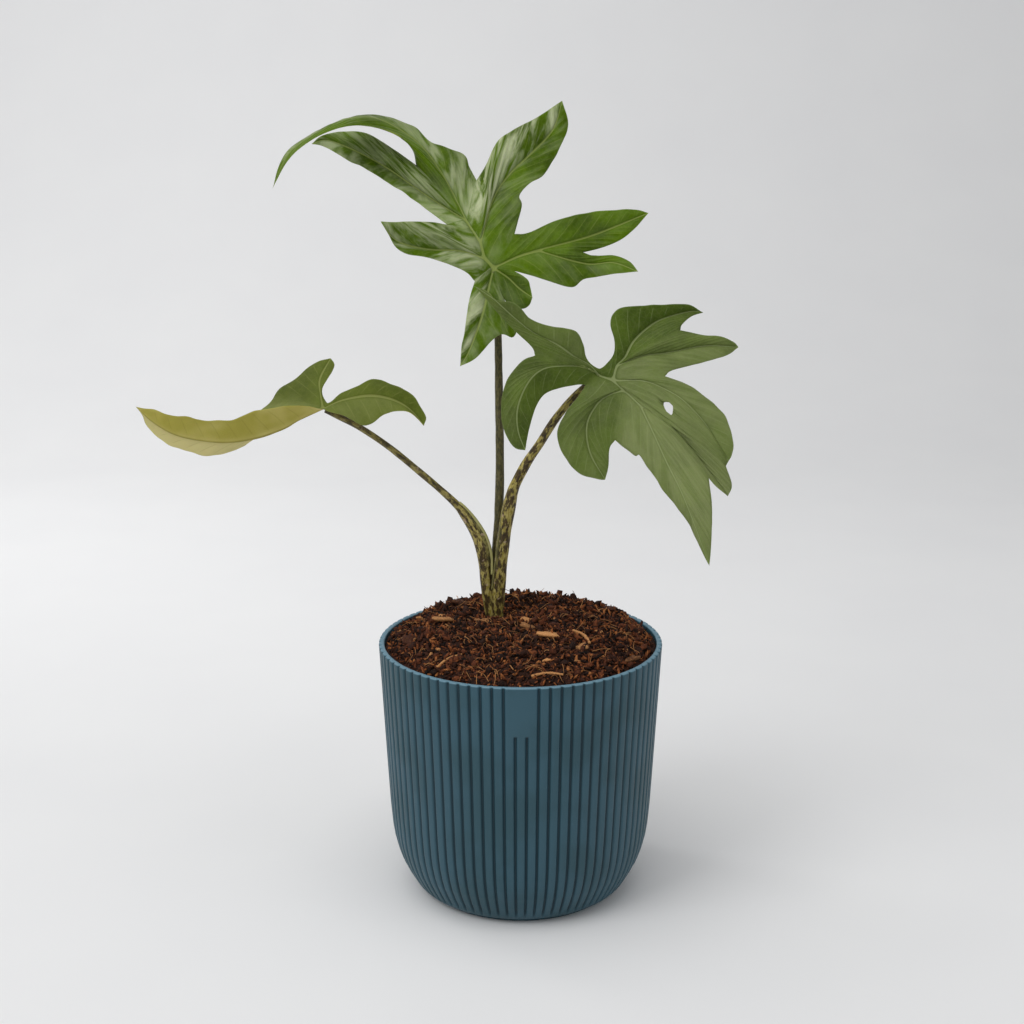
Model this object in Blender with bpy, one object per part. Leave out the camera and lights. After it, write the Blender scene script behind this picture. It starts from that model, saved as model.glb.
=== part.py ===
"""A young aroid with three lobed leaves, growing in a ribbed round pot.

The origin is the middle of the pot's base, +Z up, with the pot's bare front panel towards -Y.
Lengths below are in millimetres and become metres where a mesh is made. The pot is a tapered
wall of ribs. The plant is a rootstock with roots, three leaf stalks and three leaf blades.
"""

from math import cos, pi, radians, sin, tau

import bpy
import numpy as np

MM = 0.001
GAP = 0.3  # clear space between neighbouring pieces
ROOT_GAP = 0.4  # the same round the rootstock and its roots

# Pot
POT_HEIGHT = 128.0
POT_WALL = 2.8
POT_FLOOR = 4.0
RIB_COUNT = 80
RIB_DEPTH = 1.0
CREST_SHARE = 0.74  # of one rib's pitch, the rest is groove
RIBS_START = 2.0  # ribs grow out of the smooth foot between these two heights
RIBS_FULL = 10.0
PANEL_BOTTOM = 103.5  # the bare front panel reaches from here to the rim
# (height, radius over the ribs' crests)
POT_PROFILE = [(0, 48.4), (2, 48.9), (2.6, 52.3), (5, 54.2), (11, 57.7), (17, 60.6), (25, 63.2),
               (34, 64.7), (44.5, 65.6), (103.5, 68.8), (126.4, 70.0), (128, 69.2)]
INNER_HEIGHTS = (44.5, 25, 11)  # rings of the inner wall between the rim and the floor
MOUTH_RADIUS = 66.9  # the smooth inner wall at the rim

# Soil
SOIL_EDGE = 126.3
SOIL_CROWN = 9.5  # how far its middle stands above its edge
SOIL_ROUGHNESS = 1.2
SOIL_SIDES = 56
# Rings of the mound, as shares of its radius
SOIL_RINGS = (0.96, 0.9, 0.82, 0.73, 0.63, 0.53, 0.42, 0.31, 0.2, 0.1)

# Rootstock: (height, radius) up its axis, which leans a little to the left
STEM_FOOT = (-12.0, 16.0)
ROOTSTOCK_PROFILE = [(86, 1.6), (91, 5.4), (99, 8.2), (108, 9.0), (117, 7.8), (125, 6.0),
                     (134, 5.1), (142, 5.2), (149, 5.7), (150.5, 5.2)]
ROOTSTOCK_SIDES = 14
ROOTS_BELOW = 100.0  # the part of the rootstock that carries the roots
ROOT_COUNT = 6
ROOT_RADIUS = 1.7
ROOT_REACH = 30.0
ROOT_DROP = 52.0

# Leaf stalks: points up the middle, then the radius at the foot and at the top
STALKS = {
    "left": ([(-16.6, 13.6, 151), (-18, 13.5, 160), (-19.5, 13.5, 170), (-23, 13.2, 180), (-30, 13, 190.5),
              (-39.5, 12.5, 201), (-59, 12, 219), (-78, 11.5, 233), (-91.5, 11.8, 239.2)], 2.3, 1.5),
    "centre": ([(-12, 19.4, 151), (-11.4, 18.6, 170), (-10, 17.2, 195), (-10, 17.5, 215), (-10.5, 19, 245),
                (-11, 21, 271.5), (-11.5, 23, 293.5), (-12.3, 23.4, 306.5)], 2.2, 1.8),
    "right": ([(-10.8, 13.4, 151), (-9.4, 12.6, 170), (-7, 10, 186.5), (-3.8, 7, 200), (0, 5, 209),
               (7.5, 1, 223.5), (16.5, -2.6, 239.5), (26, -4.6, 252), (33.6, -5.2, 258.6)], 2.4, 1.6),
}
STALK_SIDES = 10

# Blades: `ribs` are the main veins as (x, y, z) paths, named by where they run, and `edges` the outline.
# Each lobe is (rib, first side's way to the rib, first edge, second side's way, second edge). An edge
# runs from the notch beside the lobe towards its tip, and the rib's last point closes it.
BLADE_THICKNESS = 0.7
BLADE_ROWS = 2  # across each half lobe
RIB_STEPS = {"trunk": 2, "lobe": 8}

TOP_LEAF = {
    "face": (0.1, -0.9, 0.42),
    "trunks": {
        "heart-bend": [(-13, 20, 309), (-17.5, 22, 313.5)],
        "bend-fork": [(-17.5, 22, 313.5), (-19.5, 25, 320.5)],
        "fork-neck": [(-19.5, 25, 320.5), (-26.5, 33, 330.5)],
        "heart-knee": [(-13, 20, 309), (-2, 22.5, 314), (8.5, 24, 317)],
    },
    "ribs": {
        "heel_left": [(-13, 20, 309), (-15, 17.5, 301.5), (-18.5, 12, 287.5), (-24.5, 7, 271.5),
                      (-29, 4, 264)],
        "arm": [(-17.5, 22, 313.5), (-28.5, 21, 317), (-44.5, 18, 318), (-59, 13, 322.5), (-66, 10, 332)],
        "shoulder": [(-26.5, 33, 330.5), (-45.5, 42, 341.5), (-68.5, 49, 356.5), (-93, 53, 367.5),
                     (-102.5, 52, 366)],
        "crown": [(-26.5, 33, 330.5), (-39.5, 43, 354), (-52, 46, 368.5), (-70.5, 40, 379), (-86.5, 35, 377),
                  (-102, 30, 369.5), (-111.5, 27, 361.5), (-118.5, 24, 346.5)],
        "upright": [(-19.5, 25, 320.5), (-14, 38, 339), (-6.5, 47, 350.5), (5.5, 54, 361.5), (16, 59, 372.5),
                    (20.5, 60, 386.5)],
        "hand": [(8.5, 24, 317), (29.5, 28, 322), (42.5, 29, 326.5), (61.5, 28, 334.5)],
        "finger": [(8.5, 24, 317), (31, 21, 311), (44, 18, 312), (56, 14, 308)],
        "heel_right": [(-13, 20, 309), (-6.5, 18, 305), (-1, 15, 300), (5.5, 11, 296)],
    },
    "lobes": [
        ("heel_left", [], [(-10, 16, 297), (-6, 13, 291), (-2, 9, 283), (-4, 8, 277.5), (-9.5, 8, 278.5),
                           (-17, 7, 272), (-22, 5, 267)],
         [], [(-22, 17, 303), (-24.5, 14, 295), (-26, 11, 287.5), (-28.5, 6, 271)]),
        ("arm", ["heart-bend"], [(-22, 17, 303), (-27, 16.5, 308), (-41.5, 15, 313.5), (-57.5, 12, 318),
                                 (-63, 11, 326.5)],
         ["-fork-neck", "-bend-fork"], [(-34.5, 26, 328.5), (-41.5, 22, 330.5), (-53.5, 15, 331.5),
                                        (-60.5, 12, 331.5)]),
        ("shoulder", [], [(-34.5, 26, 328.5), (-49.5, 36, 338.5), (-69.5, 44, 351), (-84, 49, 358),
                          (-96, 52, 364.5)],
         [], [(-51, 47, 356), (-62, 49, 363.5), (-75, 51, 371), (-86, 53, 372), (-97, 53, 370)]),
        ("crown", [], [(-51, 47, 356), (-52.5, 43, 363.5), (-58.5, 38, 370.5), (-67, 34, 374),
                       (-79.5, 30, 375.5),
                       (-92, 27, 372.5), (-103, 25, 366.5), (-111, 24, 359)],
         [], [(-21.5, 42, 349), (-25, 45, 355), (-28.5, 48, 361.5), (-44.5, 52, 367.5), (-53, 53, 374.5),
              (-70, 49, 380), (-87, 42, 377.5), (-106, 34, 368), (-114, 30, 360.5)]),
        ("upright", ["-fork-neck"], [(-21.5, 42, 349), (-17, 45, 356), (-11.5, 49, 367), (-3, 54, 373),
                                     (8, 58, 378.5)],
         ["heart-bend", "bend-fork"], [(-3, 27, 324.5), (0.5, 36, 337), (-0.5, 39, 342), (4.5, 44, 347.5),
                                       (11.5, 49, 351.5), (19, 54, 363.5), (23.5, 58, 375)]),
        ("hand", ["heart-knee"], [(-3, 27, 324.5), (3.5, 28, 325), (17.5, 29, 331), (29.5, 30, 334),
                                  (42, 30, 335.5), (55, 29, 336)],
         [], [(30, 24, 316), (38.5, 25, 318), (47.5, 26, 321.5), (55, 27, 327)]),
        ("finger", [], [(30, 24, 316), (35.5, 22, 314.5), (44.5, 20, 315), (52, 17, 312.5)],
         ["heart-knee"], [(-3.5, 18, 308), (3.5, 18, 306), (13.5, 18, 303), (24.5, 17, 300), (31, 17, 304),
                          (47, 15, 307)]),
        ("heel_right", [], [(-3.5, 18, 308), (3, 14, 304.5), (4.5, 13, 300.5)],
         [], [(-10, 16, 297), (-5, 13, 292), (0.5, 12, 290.5), (4, 11, 292.5)]),
    ],
}

RIGHT_LEAF = {
    "face": (-0.1, -0.72, 0.69),
    "trunks": {
        "heart-neck": [(37, -8, 261.5), (43, -11, 260)],
        "neck-crook": [(43, -11, 260), (44.5, -8, 266)],
        "neck-back": [(43, -11, 260), (48.5, -14, 256)],
        "back-waist": [(48.5, -14, 256), (55.5, -20, 250)],
    },
    "ribs": {
        "arm": [(37, -8, 261.5), (31.5, -10, 266), (20.5, -14, 267.5), (10.5, -19, 267), (3.5, -23, 261.5),
                (-1.5, -26, 250.5), (-1.5, -27, 239.5), (2, -26, 229.5)],
        "spear": [(37, -8, 261.5), (33, -9, 266.5), (25.5, -11, 270.5), (16.5, -13, 277), (6.5, -14, 282),
                  (-3.5, -15, 290), (-12, -16, 298), (-22, -16, 305)],
        "crest": [(44.5, -8, 266), (49, -4, 269), (53, 3, 275), (59.5, 9, 280.5), (67.5, 13, 285),
                  (81.5, 16, 288.5),
                  (88, 17, 288)],
        "wing": [(44.5, -8, 266), (56.5, -3, 270), (68.5, 0, 271), (87, 3, 274), (103.5, 2, 273.5)],
        "flank": [(43, -11, 260), (56, -13, 260.5), (65.5, -16, 257.5), (75, -21, 252.5), (84.5, -28, 243),
                  (90.5, -34, 233.5), (95.5, -37, 227)],
        "toe": [(55.5, -20, 250), (65, -25, 245), (74.5, -31, 236.5), (84, -38, 225), (94.5, -46, 212.5)],
        "spine": [(55.5, -20, 250), (61, -30, 239), (66.5, -40, 227.5), (72.5, -50, 216), (79, -60, 200),
                  (84.5, -66, 185)],
        "heel": [(48.5, -14, 256), (41.5, -14, 254), (35.5, -14, 249), (31, -15, 239.5), (32.5, -18, 227),
                 (39.5, -24, 215)],
    },
    "lobes": [
        ("arm", [], [(30.5, -10, 257.5), (26.5, -12, 258), (18.5, -15, 257), (11, -18, 254.5),
                     (6.5, -21, 247.5),
                     (3, -25, 236.5)],
         [], [(6.5, -16, 272.5), (0.5, -18, 270), (-7, -21, 261), (-9.5, -23, 250), (-7.5, -25, 238),
              (-3, -26, 231)]),
        ("spear", [], [(6.5, -16, 272.5), (4.5, -16, 277), (-7, -16, 288), (-18.5, -16, 301.5)],
         [], [(37, -8, 264.5), (31, -9, 269), (29, -10, 277), (25.5, -11, 283.5), (15, -12, 286),
              (4.5, -13, 290),
              (-3, -15, 297), (-11, -16, 298), (-16, -16, 302.5)]),
        ("crest", ["heart-neck", "neck-crook"],
         [(37, -8, 264.5), (40.5, -6, 267), (44, -3, 271), (44.5, 1, 277), (42.5, 5, 284), (44, 8, 289),
          (49.5, 10, 292.5), (65.5, 13, 292.5), (80, 15, 292)],
         [], [(76, 6, 281), (77, 8, 283.5), (82, 14, 286.5)]),
        ("wing", [], [(76, 6, 281), (87, 4, 279), (95, 3, 278.5), (101, 2, 276)],
         ["neck-crook"], [(67.5, -12, 262), (71, -8, 264), (80.5, -5, 266), (97, 1, 269.5)]),
        ("flank", [], [(67.5, -12, 262), (75.5, -15, 259.5), (83, -19, 256), (94, -27, 246.5),
                       (97.5, -34, 235),
                       (97, -36, 230)],
         ["-neck-back"], [(94, -39, 225)]),
        ("toe", ["back-waist"], [(94, -39, 225), (96.5, -43, 217)],
         [], [(85.5, -46, 221), (89, -46, 217)]),
        ("spine", [], [(85.5, -46, 221), (86.5, -54, 208), (85.5, -62, 192.5)],
         ["back-waist"], [(44, -22, 233.5), (52.5, -30, 228), (54.5, -32, 228.5), (58, -36, 224),
                          (66, -45, 213.5),
                          (75, -54, 203), (82, -63, 189.5)]),
        ("heel", [], [(44, -22, 233.5), (41.5, -22, 229.5), (41, -23, 221)],
         ["heart-neck", "neck-back"], [(30.5, -10, 257.5), (26.5, -12, 251.5), (20.5, -14, 244),
                                       (17, -16, 236),
                                       (19, -18, 226), (27, -21, 217.5), (36.5, -24, 215.5)]),
    ],
}

LEFT_LEAF = {
    "face": (0.15, -0.25, 0.95),
    "trunks": {},
    "ribs": {
        "keel": [(-95.5, 9, 242.5), (-107.5, 8, 237.5), (-114.5, 7, 233.5), (-127, 4, 229.5), (-141, 0, 228),
                 (-155, -4, 230), (-165.5, -7, 233.5), (-174.5, -10, 240), (-181.5, -12, 247.5)],
        "mast": [(-95.5, 9, 242.5), (-97, 15, 248), (-98.5, 24, 254), (-94, 34, 263)],
        "stern": [(-95.5, 9, 242.5), (-86.5, 6, 247), (-74.5, 2, 250), (-65.5, -1, 250), (-57.5, -3, 247.5),
                  (-51.5, -5, 243.5), (-46, -8, 237.5)],
    },
    "lobes": [
        ("keel", [], [(-95, 5, 243), (-106.5, 0, 245.5), (-124, -5, 244.5), (-135.5, -6, 240),
                      (-148, -9, 240.5),
                      (-160, -12, 242.5), (-172.5, -13, 246)],
         [], [(-123, 25, 243), (-131, 24, 235), (-133, 12, 226), (-137, 6, 222.5), (-146.5, 1, 220.5),
              (-154.5, -2, 221), (-166, -6, 227), (-174.5, -9, 234), (-178.5, -12, 243)]),
        ("mast", [], [(-123, 25, 243), (-119.5, 28, 248), (-111, 31, 253), (-101.5, 34, 261)],
         [], [(-93.5, 11, 244), (-97, 18, 248.5), (-94.5, 24, 254.5), (-92, 31, 260)]),
        ("stern", [], [(-93.5, 11, 244), (-86.5, 9, 250), (-78, 6, 254), (-69.5, 3, 258), (-59.5, -1, 255),
                       (-50, -4, 249), (-45, -6, 241.5)],
         [], [(-95, 5, 243), (-83.5, 0, 239.5), (-74, -3, 237), (-61.5, -5, 243), (-54, -7, 243.5),
              (-48, -8, 239.5)]),
    ],
}

# Bark chips lying on the soil: (middle x, middle y, turn in degrees, length, width)
CHIPS = [(-38, 4, 25, 11, 5), (-19, 5, -20, 7, 4.5), (4, 4, -15, 8, 4), (3.5, -5, -10, 8, 4),
         (13.5, -25, 10, 10, 7.5), (29, -32, 0, 7, 5), (53, -33, 30, 8, 5), (46, 30, 60, 10, 6),
         (-30, 40, 15, 10, 6), (-54, -16, 70, 9, 6)]
CHIP_THICKNESS = 2.4
CHIP_OUTLINE = [(-0.5, -0.3), (-0.35, -0.5), (0.4, -0.45), (0.5, 0.1), (0.3, 0.5), (-0.42, 0.42)]
# Twigs: (middle x, middle y, turn in degrees, length, radius)
TWIGS = [(30, -18.5, -66, 18, 0.9), (12, -58, 12, 15, 0.7), (-34, -42, 35, 14, 0.7)]
REST_GAP = 1.0  # chips and twigs lie this far above the highest soil under them


def clear_scene():
    """Remove whatever the opened scene holds."""
    for obj in list(bpy.data.objects):
        bpy.data.objects.remove(obj)


def linear_colour(hex_colour):
    """An sRGB hex colour as linear RGBA."""
    channels = [int(hex_colour[i:i + 2], 16) / 255 for i in (1, 3, 5)]
    return [c / 12.92 if c <= 0.04045 else ((c + 0.055) / 1.055) ** 2.4 for c in channels] + [1.0]


def make_material(name, hex_colour, roughness):
    """A Principled material of one colour."""
    material = bpy.data.materials.new(name)
    material.use_nodes = True
    shader = material.node_tree.nodes["Principled BSDF"]
    shader.inputs["Base Color"].default_value = linear_colour(hex_colour)
    shader.inputs["Roughness"].default_value = roughness
    return material


def add_piece(name, points, faces, material):
    """A named object from points in millimetres and faces as index lists, in the scene."""
    mesh = bpy.data.meshes.new(name)
    mesh.from_pydata((np.asarray(points, float) * MM).tolist(), [], [list(map(int, f)) for f in faces])
    mesh.validate()
    mesh.shade_smooth()
    mesh.set_sharp_from_angle(angle=radians(40))
    mesh.materials.append(material)
    piece = bpy.data.objects.new(name, mesh)
    bpy.context.scene.collection.objects.link(piece)
    return piece


def ring_faces(ring_count, sides):
    """Quads between neighbouring rings of a stack, for points in ring-by-ring order."""
    faces = []
    for ring in range(ring_count - 1):
        for side in range(sides):
            after = (side + 1) % sides
            faces.append([ring * sides + side, ring * sides + after,
                          (ring + 1) * sides + after, (ring + 1) * sides + side])
    return faces


def capped_stack(rings):
    """Points and faces of a closed shape: rings of equal size from bottom to top, with a fan at each end."""
    rings = np.asarray(rings, float)
    count, sides = rings.shape[:2]
    points = np.vstack([rings.reshape(-1, 3), rings[0].mean(0), rings[-1].mean(0)])
    faces = ring_faces(count, sides)
    last = (count - 1) * sides
    for side in range(sides):
        after = (side + 1) % sides
        faces.append([after, side, count * sides])
        faces.append([last + side, last + after, count * sides + 1])
    return points, faces


def smooth_path(points, count):
    """A Catmull-Rom curve through the points, as count + 1 samples evenly spaced along it."""
    points = np.asarray(points, float)
    if len(points) == 2:
        return points[0] + np.linspace(0, 1, count + 1)[:, None] * (points[1] - points[0])
    padded = np.vstack([2 * points[0] - points[1], points, 2 * points[-1] - points[-2]])
    t = np.linspace(0, 1, 13)[:-1, None]
    spans = []
    for a, b, c, d in zip(padded, padded[1:], padded[2:], padded[3:]):
        spans.append(0.5 * (2 * b + (c - a) * t + (2 * a - 5 * b + 4 * c - d) * t ** 2
                            + (3 * b - a - 3 * c + d) * t ** 3))
    fine = np.vstack(spans + [points[-1:]])
    return resample(fine, np.linspace(0, 1, count + 1))


def shares_along(path):
    """The share of the path's length reached at each of its points."""
    reached = np.concatenate([[0], np.cumsum(np.linalg.norm(np.diff(path, axis=0), axis=1))])
    return reached / reached[-1]


def resample(path, shares):
    """The points of a path at the given shares of its length."""
    own = shares_along(path)
    return np.stack([np.interp(shares, own, path[:, axis]) for axis in range(3)], axis=1)


def frames_along(path):
    """Two unit vectors square to the path at each point, turning as little as possible."""
    tangents = np.gradient(path, axis=0)
    tangents /= np.linalg.norm(tangents, axis=1)[:, None]
    sides = []
    side = np.cross(tangents[0], (0, 1, 0))
    for tangent in tangents:
        side = side - tangent * side.dot(tangent)
        side = side / np.linalg.norm(side)
        sides.append(side)
    sides = np.array(sides)
    return sides, np.cross(tangents, sides)


def tube(path, radii, sides):
    """Points and faces of a closed round bar of changing radius along a path."""
    across, up = frames_along(path)
    angles = (np.arange(sides) * tau / sides)[None, :, None]
    outwards = np.cos(angles) * across[:, None] + np.sin(angles) * up[:, None]
    return capped_stack(path[:, None] + radii[:, None, None] * outwards)


def crest_radius(height):
    """The pot's radius over its ribs at a height."""
    heights, radii = zip(*POT_PROFILE)
    return np.interp(height, heights, radii)


def inner_radius(height):
    """The radius of the pot's smooth inner wall at a height."""
    return crest_radius(min(height, POT_PROFILE[-2][0])) - POT_WALL


def make_pot(material):
    """The ribbed pot: three points a rib outside, a smooth wall inside, and a flat base."""
    pitch = tau / RIB_COUNT
    groove_angles = -pi / 2 + (np.arange(RIB_COUNT) + 0.5) * pitch
    offsets = np.array([0, (1 - CREST_SHARE) / 2, (1 + CREST_SHARE) / 2]) * pitch
    angles = (groove_angles[:, None] + offsets).ravel()
    is_groove = np.tile([True, False, False], RIB_COUNT)
    by_panel = np.zeros(len(angles), bool)
    by_panel[[0, -3]] = True  # the two grooves under the panel
    round_the_pot = np.stack([np.cos(angles), np.sin(angles)], axis=1)
    rings = []
    heights = sorted({height for height, _ in POT_PROFILE} | {PANEL_BOTTOM + 1.5})
    for height in heights:
        share = np.clip((height - RIBS_START) / (RIBS_FULL - RIBS_START), 0, 1)
        depth = np.where(is_groove, RIB_DEPTH * share, 0.0)
        if height > PANEL_BOTTOM:
            depth[by_panel] = 0
        radius = crest_radius(height) - depth
        rings.append(np.column_stack([round_the_pot * radius[:, None], np.full(len(angles), height)]))
    for height in (POT_HEIGHT, *INNER_HEIGHTS, POT_FLOOR):
        ring = round_the_pot * inner_radius(height)
        rings.append(np.column_stack([ring, np.full(len(angles), height)]))
    return add_piece("pot", *capped_stack(rings), material)


def soil_height(x, y):
    """The soil's surface: a mound with gentle lumps, nearly level in the middle and falling to the rim."""
    share = np.clip(np.hypot(x, y) / MOUTH_RADIUS, 0, 1)
    lumps = np.sin(x * 0.19 + 1.3) * np.sin(y * 0.23 - 0.7) + 0.5 * np.sin(x * 0.29 - y * 0.26)
    return SOIL_EDGE + (SOIL_CROWN + SOIL_ROUGHNESS * lumps) * (1 - share ** 4)


def make_soil(material, rootstock):
    """The soil: it fills the pot and is heaped above the rim, with a pocket where the rootstock grows."""
    angles = np.arange(SOIL_SIDES) * tau / SOIL_SIDES
    round_the_pot = np.stack([np.cos(angles), np.sin(angles)], axis=1)
    rings = []
    for height in (POT_FLOOR + GAP, *reversed(INNER_HEIGHTS), SOIL_EDGE):
        ring = round_the_pot * (inner_radius(height) - GAP)
        rings.append(np.column_stack([ring, np.full(SOIL_SIDES, height)]))
    for share in SOIL_RINGS:
        ring = round_the_pot * (inner_radius(SOIL_EDGE) - GAP) * share
        rings.append(np.column_stack([ring, soil_height(ring[:, 0], ring[:, 1])]))
    soil = add_piece("soil", *capped_stack(rings), material)
    pocket = add_piece("rootstock_pocket", *rootstock, material)
    pocket.hide_render = True
    pocket.display_type = "WIRE"
    cut = soil.modifiers.new("pocket", "BOOLEAN")
    cut.operation = "DIFFERENCE"
    cut.object = pocket
    return pocket


def rootstock_shape(extra):
    """The rootstock's own body, a little flattened front to back and grown by `extra` all round."""
    angles = np.arange(ROOTSTOCK_SIDES) * tau / ROOTSTOCK_SIDES
    rings = []
    for height, radius in ROOTSTOCK_PROFILE:
        height_grown = height - extra if height < ROOTS_BELOW else height
        ring = np.stack([np.cos(angles), 0.9 * np.sin(angles)], axis=1) * (radius + extra) + STEM_FOOT
        rings.append(np.column_stack([ring, np.full(ROOTSTOCK_SIDES, height_grown)]))
    return capped_stack(rings)


def root_path(index):
    """One root: out of the rootstock's side, then down and outwards."""
    angle = tau * (index + 0.35) / ROOT_COUNT
    away = np.array([cos(angle), sin(angle), 0])
    start = np.array([*STEM_FOOT, 104 - 2.5 * (index % 3)])
    reach = ROOT_REACH * (0.8 + 0.2 * sin(2.4 * index))
    points = [start + away * 4, start + away * reach * 0.5 + (0, 0, -9),
              start + away * reach * 0.85 + (0, 0, -0.5 * ROOT_DROP),
              start + away * reach + (0, 0, -ROOT_DROP)]
    return smooth_path(points, 7)


def add_roots(body, extra, material):
    """Join the roots to a rootstock body, or to the pocket that holds it."""
    for index in range(ROOT_COUNT):
        path = root_path(index)
        radii = np.linspace(ROOT_RADIUS, 0.5 * ROOT_RADIUS, len(path)) + extra
        root = add_piece(f"root_{index + 1}_for_{body.name}", *tube(path, radii, 6), material)
        root.hide_render = True
        root.display_type = "WIRE"
        join = body.modifiers.new(f"root_{index + 1}", "BOOLEAN")
        join.operation = "UNION"
        join.object = root


def make_rootstock(material):
    """The rootstock with its roots, and the short stem that stands out of the soil."""
    body = add_piece("rootstock", *rootstock_shape(0.0), material)
    add_roots(body, 0.0, material)
    return body


def make_stalks(material):
    """The three leaf stalks, thinner towards their blades."""
    for side, (points, foot_radius, top_radius) in STALKS.items():
        path = smooth_path(points, 16)
        radii = np.linspace(foot_radius, top_radius, len(path))
        add_piece(f"leaf_stalk_{side}", *tube(path, radii, STALK_SIDES), material)


def sample_ribs(leaf):
    """Every vein of a leaf as a fixed run of points, so that both of its sides share them."""
    runs = {}
    for name, points in leaf["trunks"].items():
        run = smooth_path(points, RIB_STEPS["trunk"])
        runs[name] = run
        runs["-" + name] = run[::-1]
    for name, points in leaf["ribs"].items():
        runs[name] = smooth_path(points, RIB_STEPS["lobe"])
    return runs


def half_lobe(runs, way, rib, edge, face):
    """A grid of points from a vein (first column) out to the edge (last column), notch to tip.

    Each row is a straight line from the vein to the edge, arched a little towards `face`.
    """
    inner = runs[rib]
    for name in reversed(way):
        inner = np.vstack([runs[name][:-1], inner])
    outline = smooth_path(list(edge) + [runs[rib][-1]], 12 * len(edge))
    outer = resample(outline, shares_along(inner))
    across = np.linspace(0, 1, BLADE_ROWS + 1)[None, :, None]
    width = np.linalg.norm(outer - inner, axis=1)[:, None, None]
    arch = 0.16 * across * (1 - across) * width * np.asarray(face)
    return inner[:, None] * (1 - across) + outer[:, None] * across + arch


def blade_surface(leaf):
    """A whole blade as one open sheet: its half lobes side by side, with shared points welded."""
    runs = sample_ribs(leaf)
    points, faces = [], []
    for rib, first_way, first_edge, second_way, second_edge in leaf["lobes"]:
        for way, edge, flip in ((first_way, first_edge, False), (second_way, second_edge, True)):
            grid = half_lobe(runs, way, rib, edge, leaf["face"])
            rows, columns = grid.shape[:2]
            index = sum(len(p) for p in points) + np.arange(rows * columns).reshape(rows, columns)
            points.append(grid.reshape(-1, 3))
            for i in range(rows - 1):
                for j in range(columns - 1):
                    quad = [index[i, j], index[i + 1, j], index[i + 1, j + 1], index[i, j + 1]]
                    faces.append(quad[::-1] if flip else quad)
    points = np.vstack(points)
    _, first, same = np.unique(np.round(points, 3), axis=0, return_index=True, return_inverse=True)
    same = same.reshape(-1)
    welded = []
    for face in faces:
        corners = list(dict.fromkeys(same[corner] for corner in face))
        if len(corners) > 2:
            welded.append(corners)
    return points[first], welded


def make_blade(name, leaf, material):
    """A leaf blade of even thickness."""
    blade = add_piece(name, *blade_surface(leaf), material)
    thicken = blade.modifiers.new("thickness", "SOLIDIFY")
    thicken.thickness = BLADE_THICKNESS * MM
    thicken.offset = 0
    return blade


def make_chips(material):
    """Bark chips: flat blocks with worn corners, each resting just clear of the soil."""
    shares = np.linspace(0, 1, 5)[None, :, None]
    for number, (x, y, turn, length, width) in enumerate(CHIPS, 1):
        middle = np.array([x, y], float)
        along = np.array([cos(radians(turn)), sin(radians(turn))])
        beside = np.array([-along[1], along[0]])
        outline = np.array([middle + u * length * along + v * width * beside for u, v in CHIP_OUTLINE])
        under = outline[:, None] * shares + middle * (1 - shares)
        bottom = soil_height(under[..., 0], under[..., 1]).max() + REST_GAP
        rings = []
        for share, height in ((0.82, 0.0), (1.0, 0.3), (1.0, 0.7), (0.78, 1.0)):
            ring = middle + (outline - middle) * share
            rings.append(np.column_stack([ring, np.full(len(ring), bottom + height * CHIP_THICKNESS)]))
        add_piece(f"bark_chip_{number}", *capped_stack(rings), material)


def make_twigs(material):
    """Thin twigs lying on the soil."""
    for number, (x, y, turn, length, radius) in enumerate(TWIGS, 1):
        along = np.array([cos(radians(turn)), sin(radians(turn))])
        shares = np.linspace(-0.5, 0.5, 6)
        flat = np.array([x, y]) + shares[:, None] * length * along
        lowest = soil_height(flat[:, 0], flat[:, 1]).max() + radius + REST_GAP
        path = np.column_stack([flat, lowest + 1.2 * np.sin(shares * pi) ** 2])
        radii = np.linspace(radius, 0.6 * radius, len(path))
        add_piece(f"twig_{number}", *tube(path, radii, 6), material)


def main():
    clear_scene()
    pot_plastic = make_material("ribbed_pot_plastic", "#3c5663", 0.42)
    potting_soil = make_material("potting_soil", "#3a2419", 0.95)
    root_flesh = make_material("rootstock_flesh", "#7d6a45", 0.7)
    stalk_skin = make_material("mottled_stalk", "#6f6a45", 0.5)
    blade_green = make_material("leaf_green", "#4f7d38", 0.4)
    bark = make_material("bark", "#6b4a31", 0.9)
    make_pot(pot_plastic)
    make_rootstock(root_flesh)
    pocket = make_soil(potting_soil, rootstock_shape(ROOT_GAP))
    add_roots(pocket, ROOT_GAP, potting_soil)
    make_stalks(stalk_skin)
    make_blade("leaf_blade_top", TOP_LEAF, blade_green)
    make_blade("leaf_blade_right", RIGHT_LEAF, blade_green)
    make_blade("leaf_blade_left", LEFT_LEAF, blade_green)
    make_chips(bark)
    make_twigs(bark)


main()
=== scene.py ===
"""The looks of a young lobed-leaf aroid in a ribbed pot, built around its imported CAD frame.

Lengths are in millimetres in the CAD's own frame and become metres where a mesh is made. The pot's
bare front panel faces -Y and +Z is up. Each piece is a surface worked out with numpy.
"""

from math import cos, pi, radians, sin, tau

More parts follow.
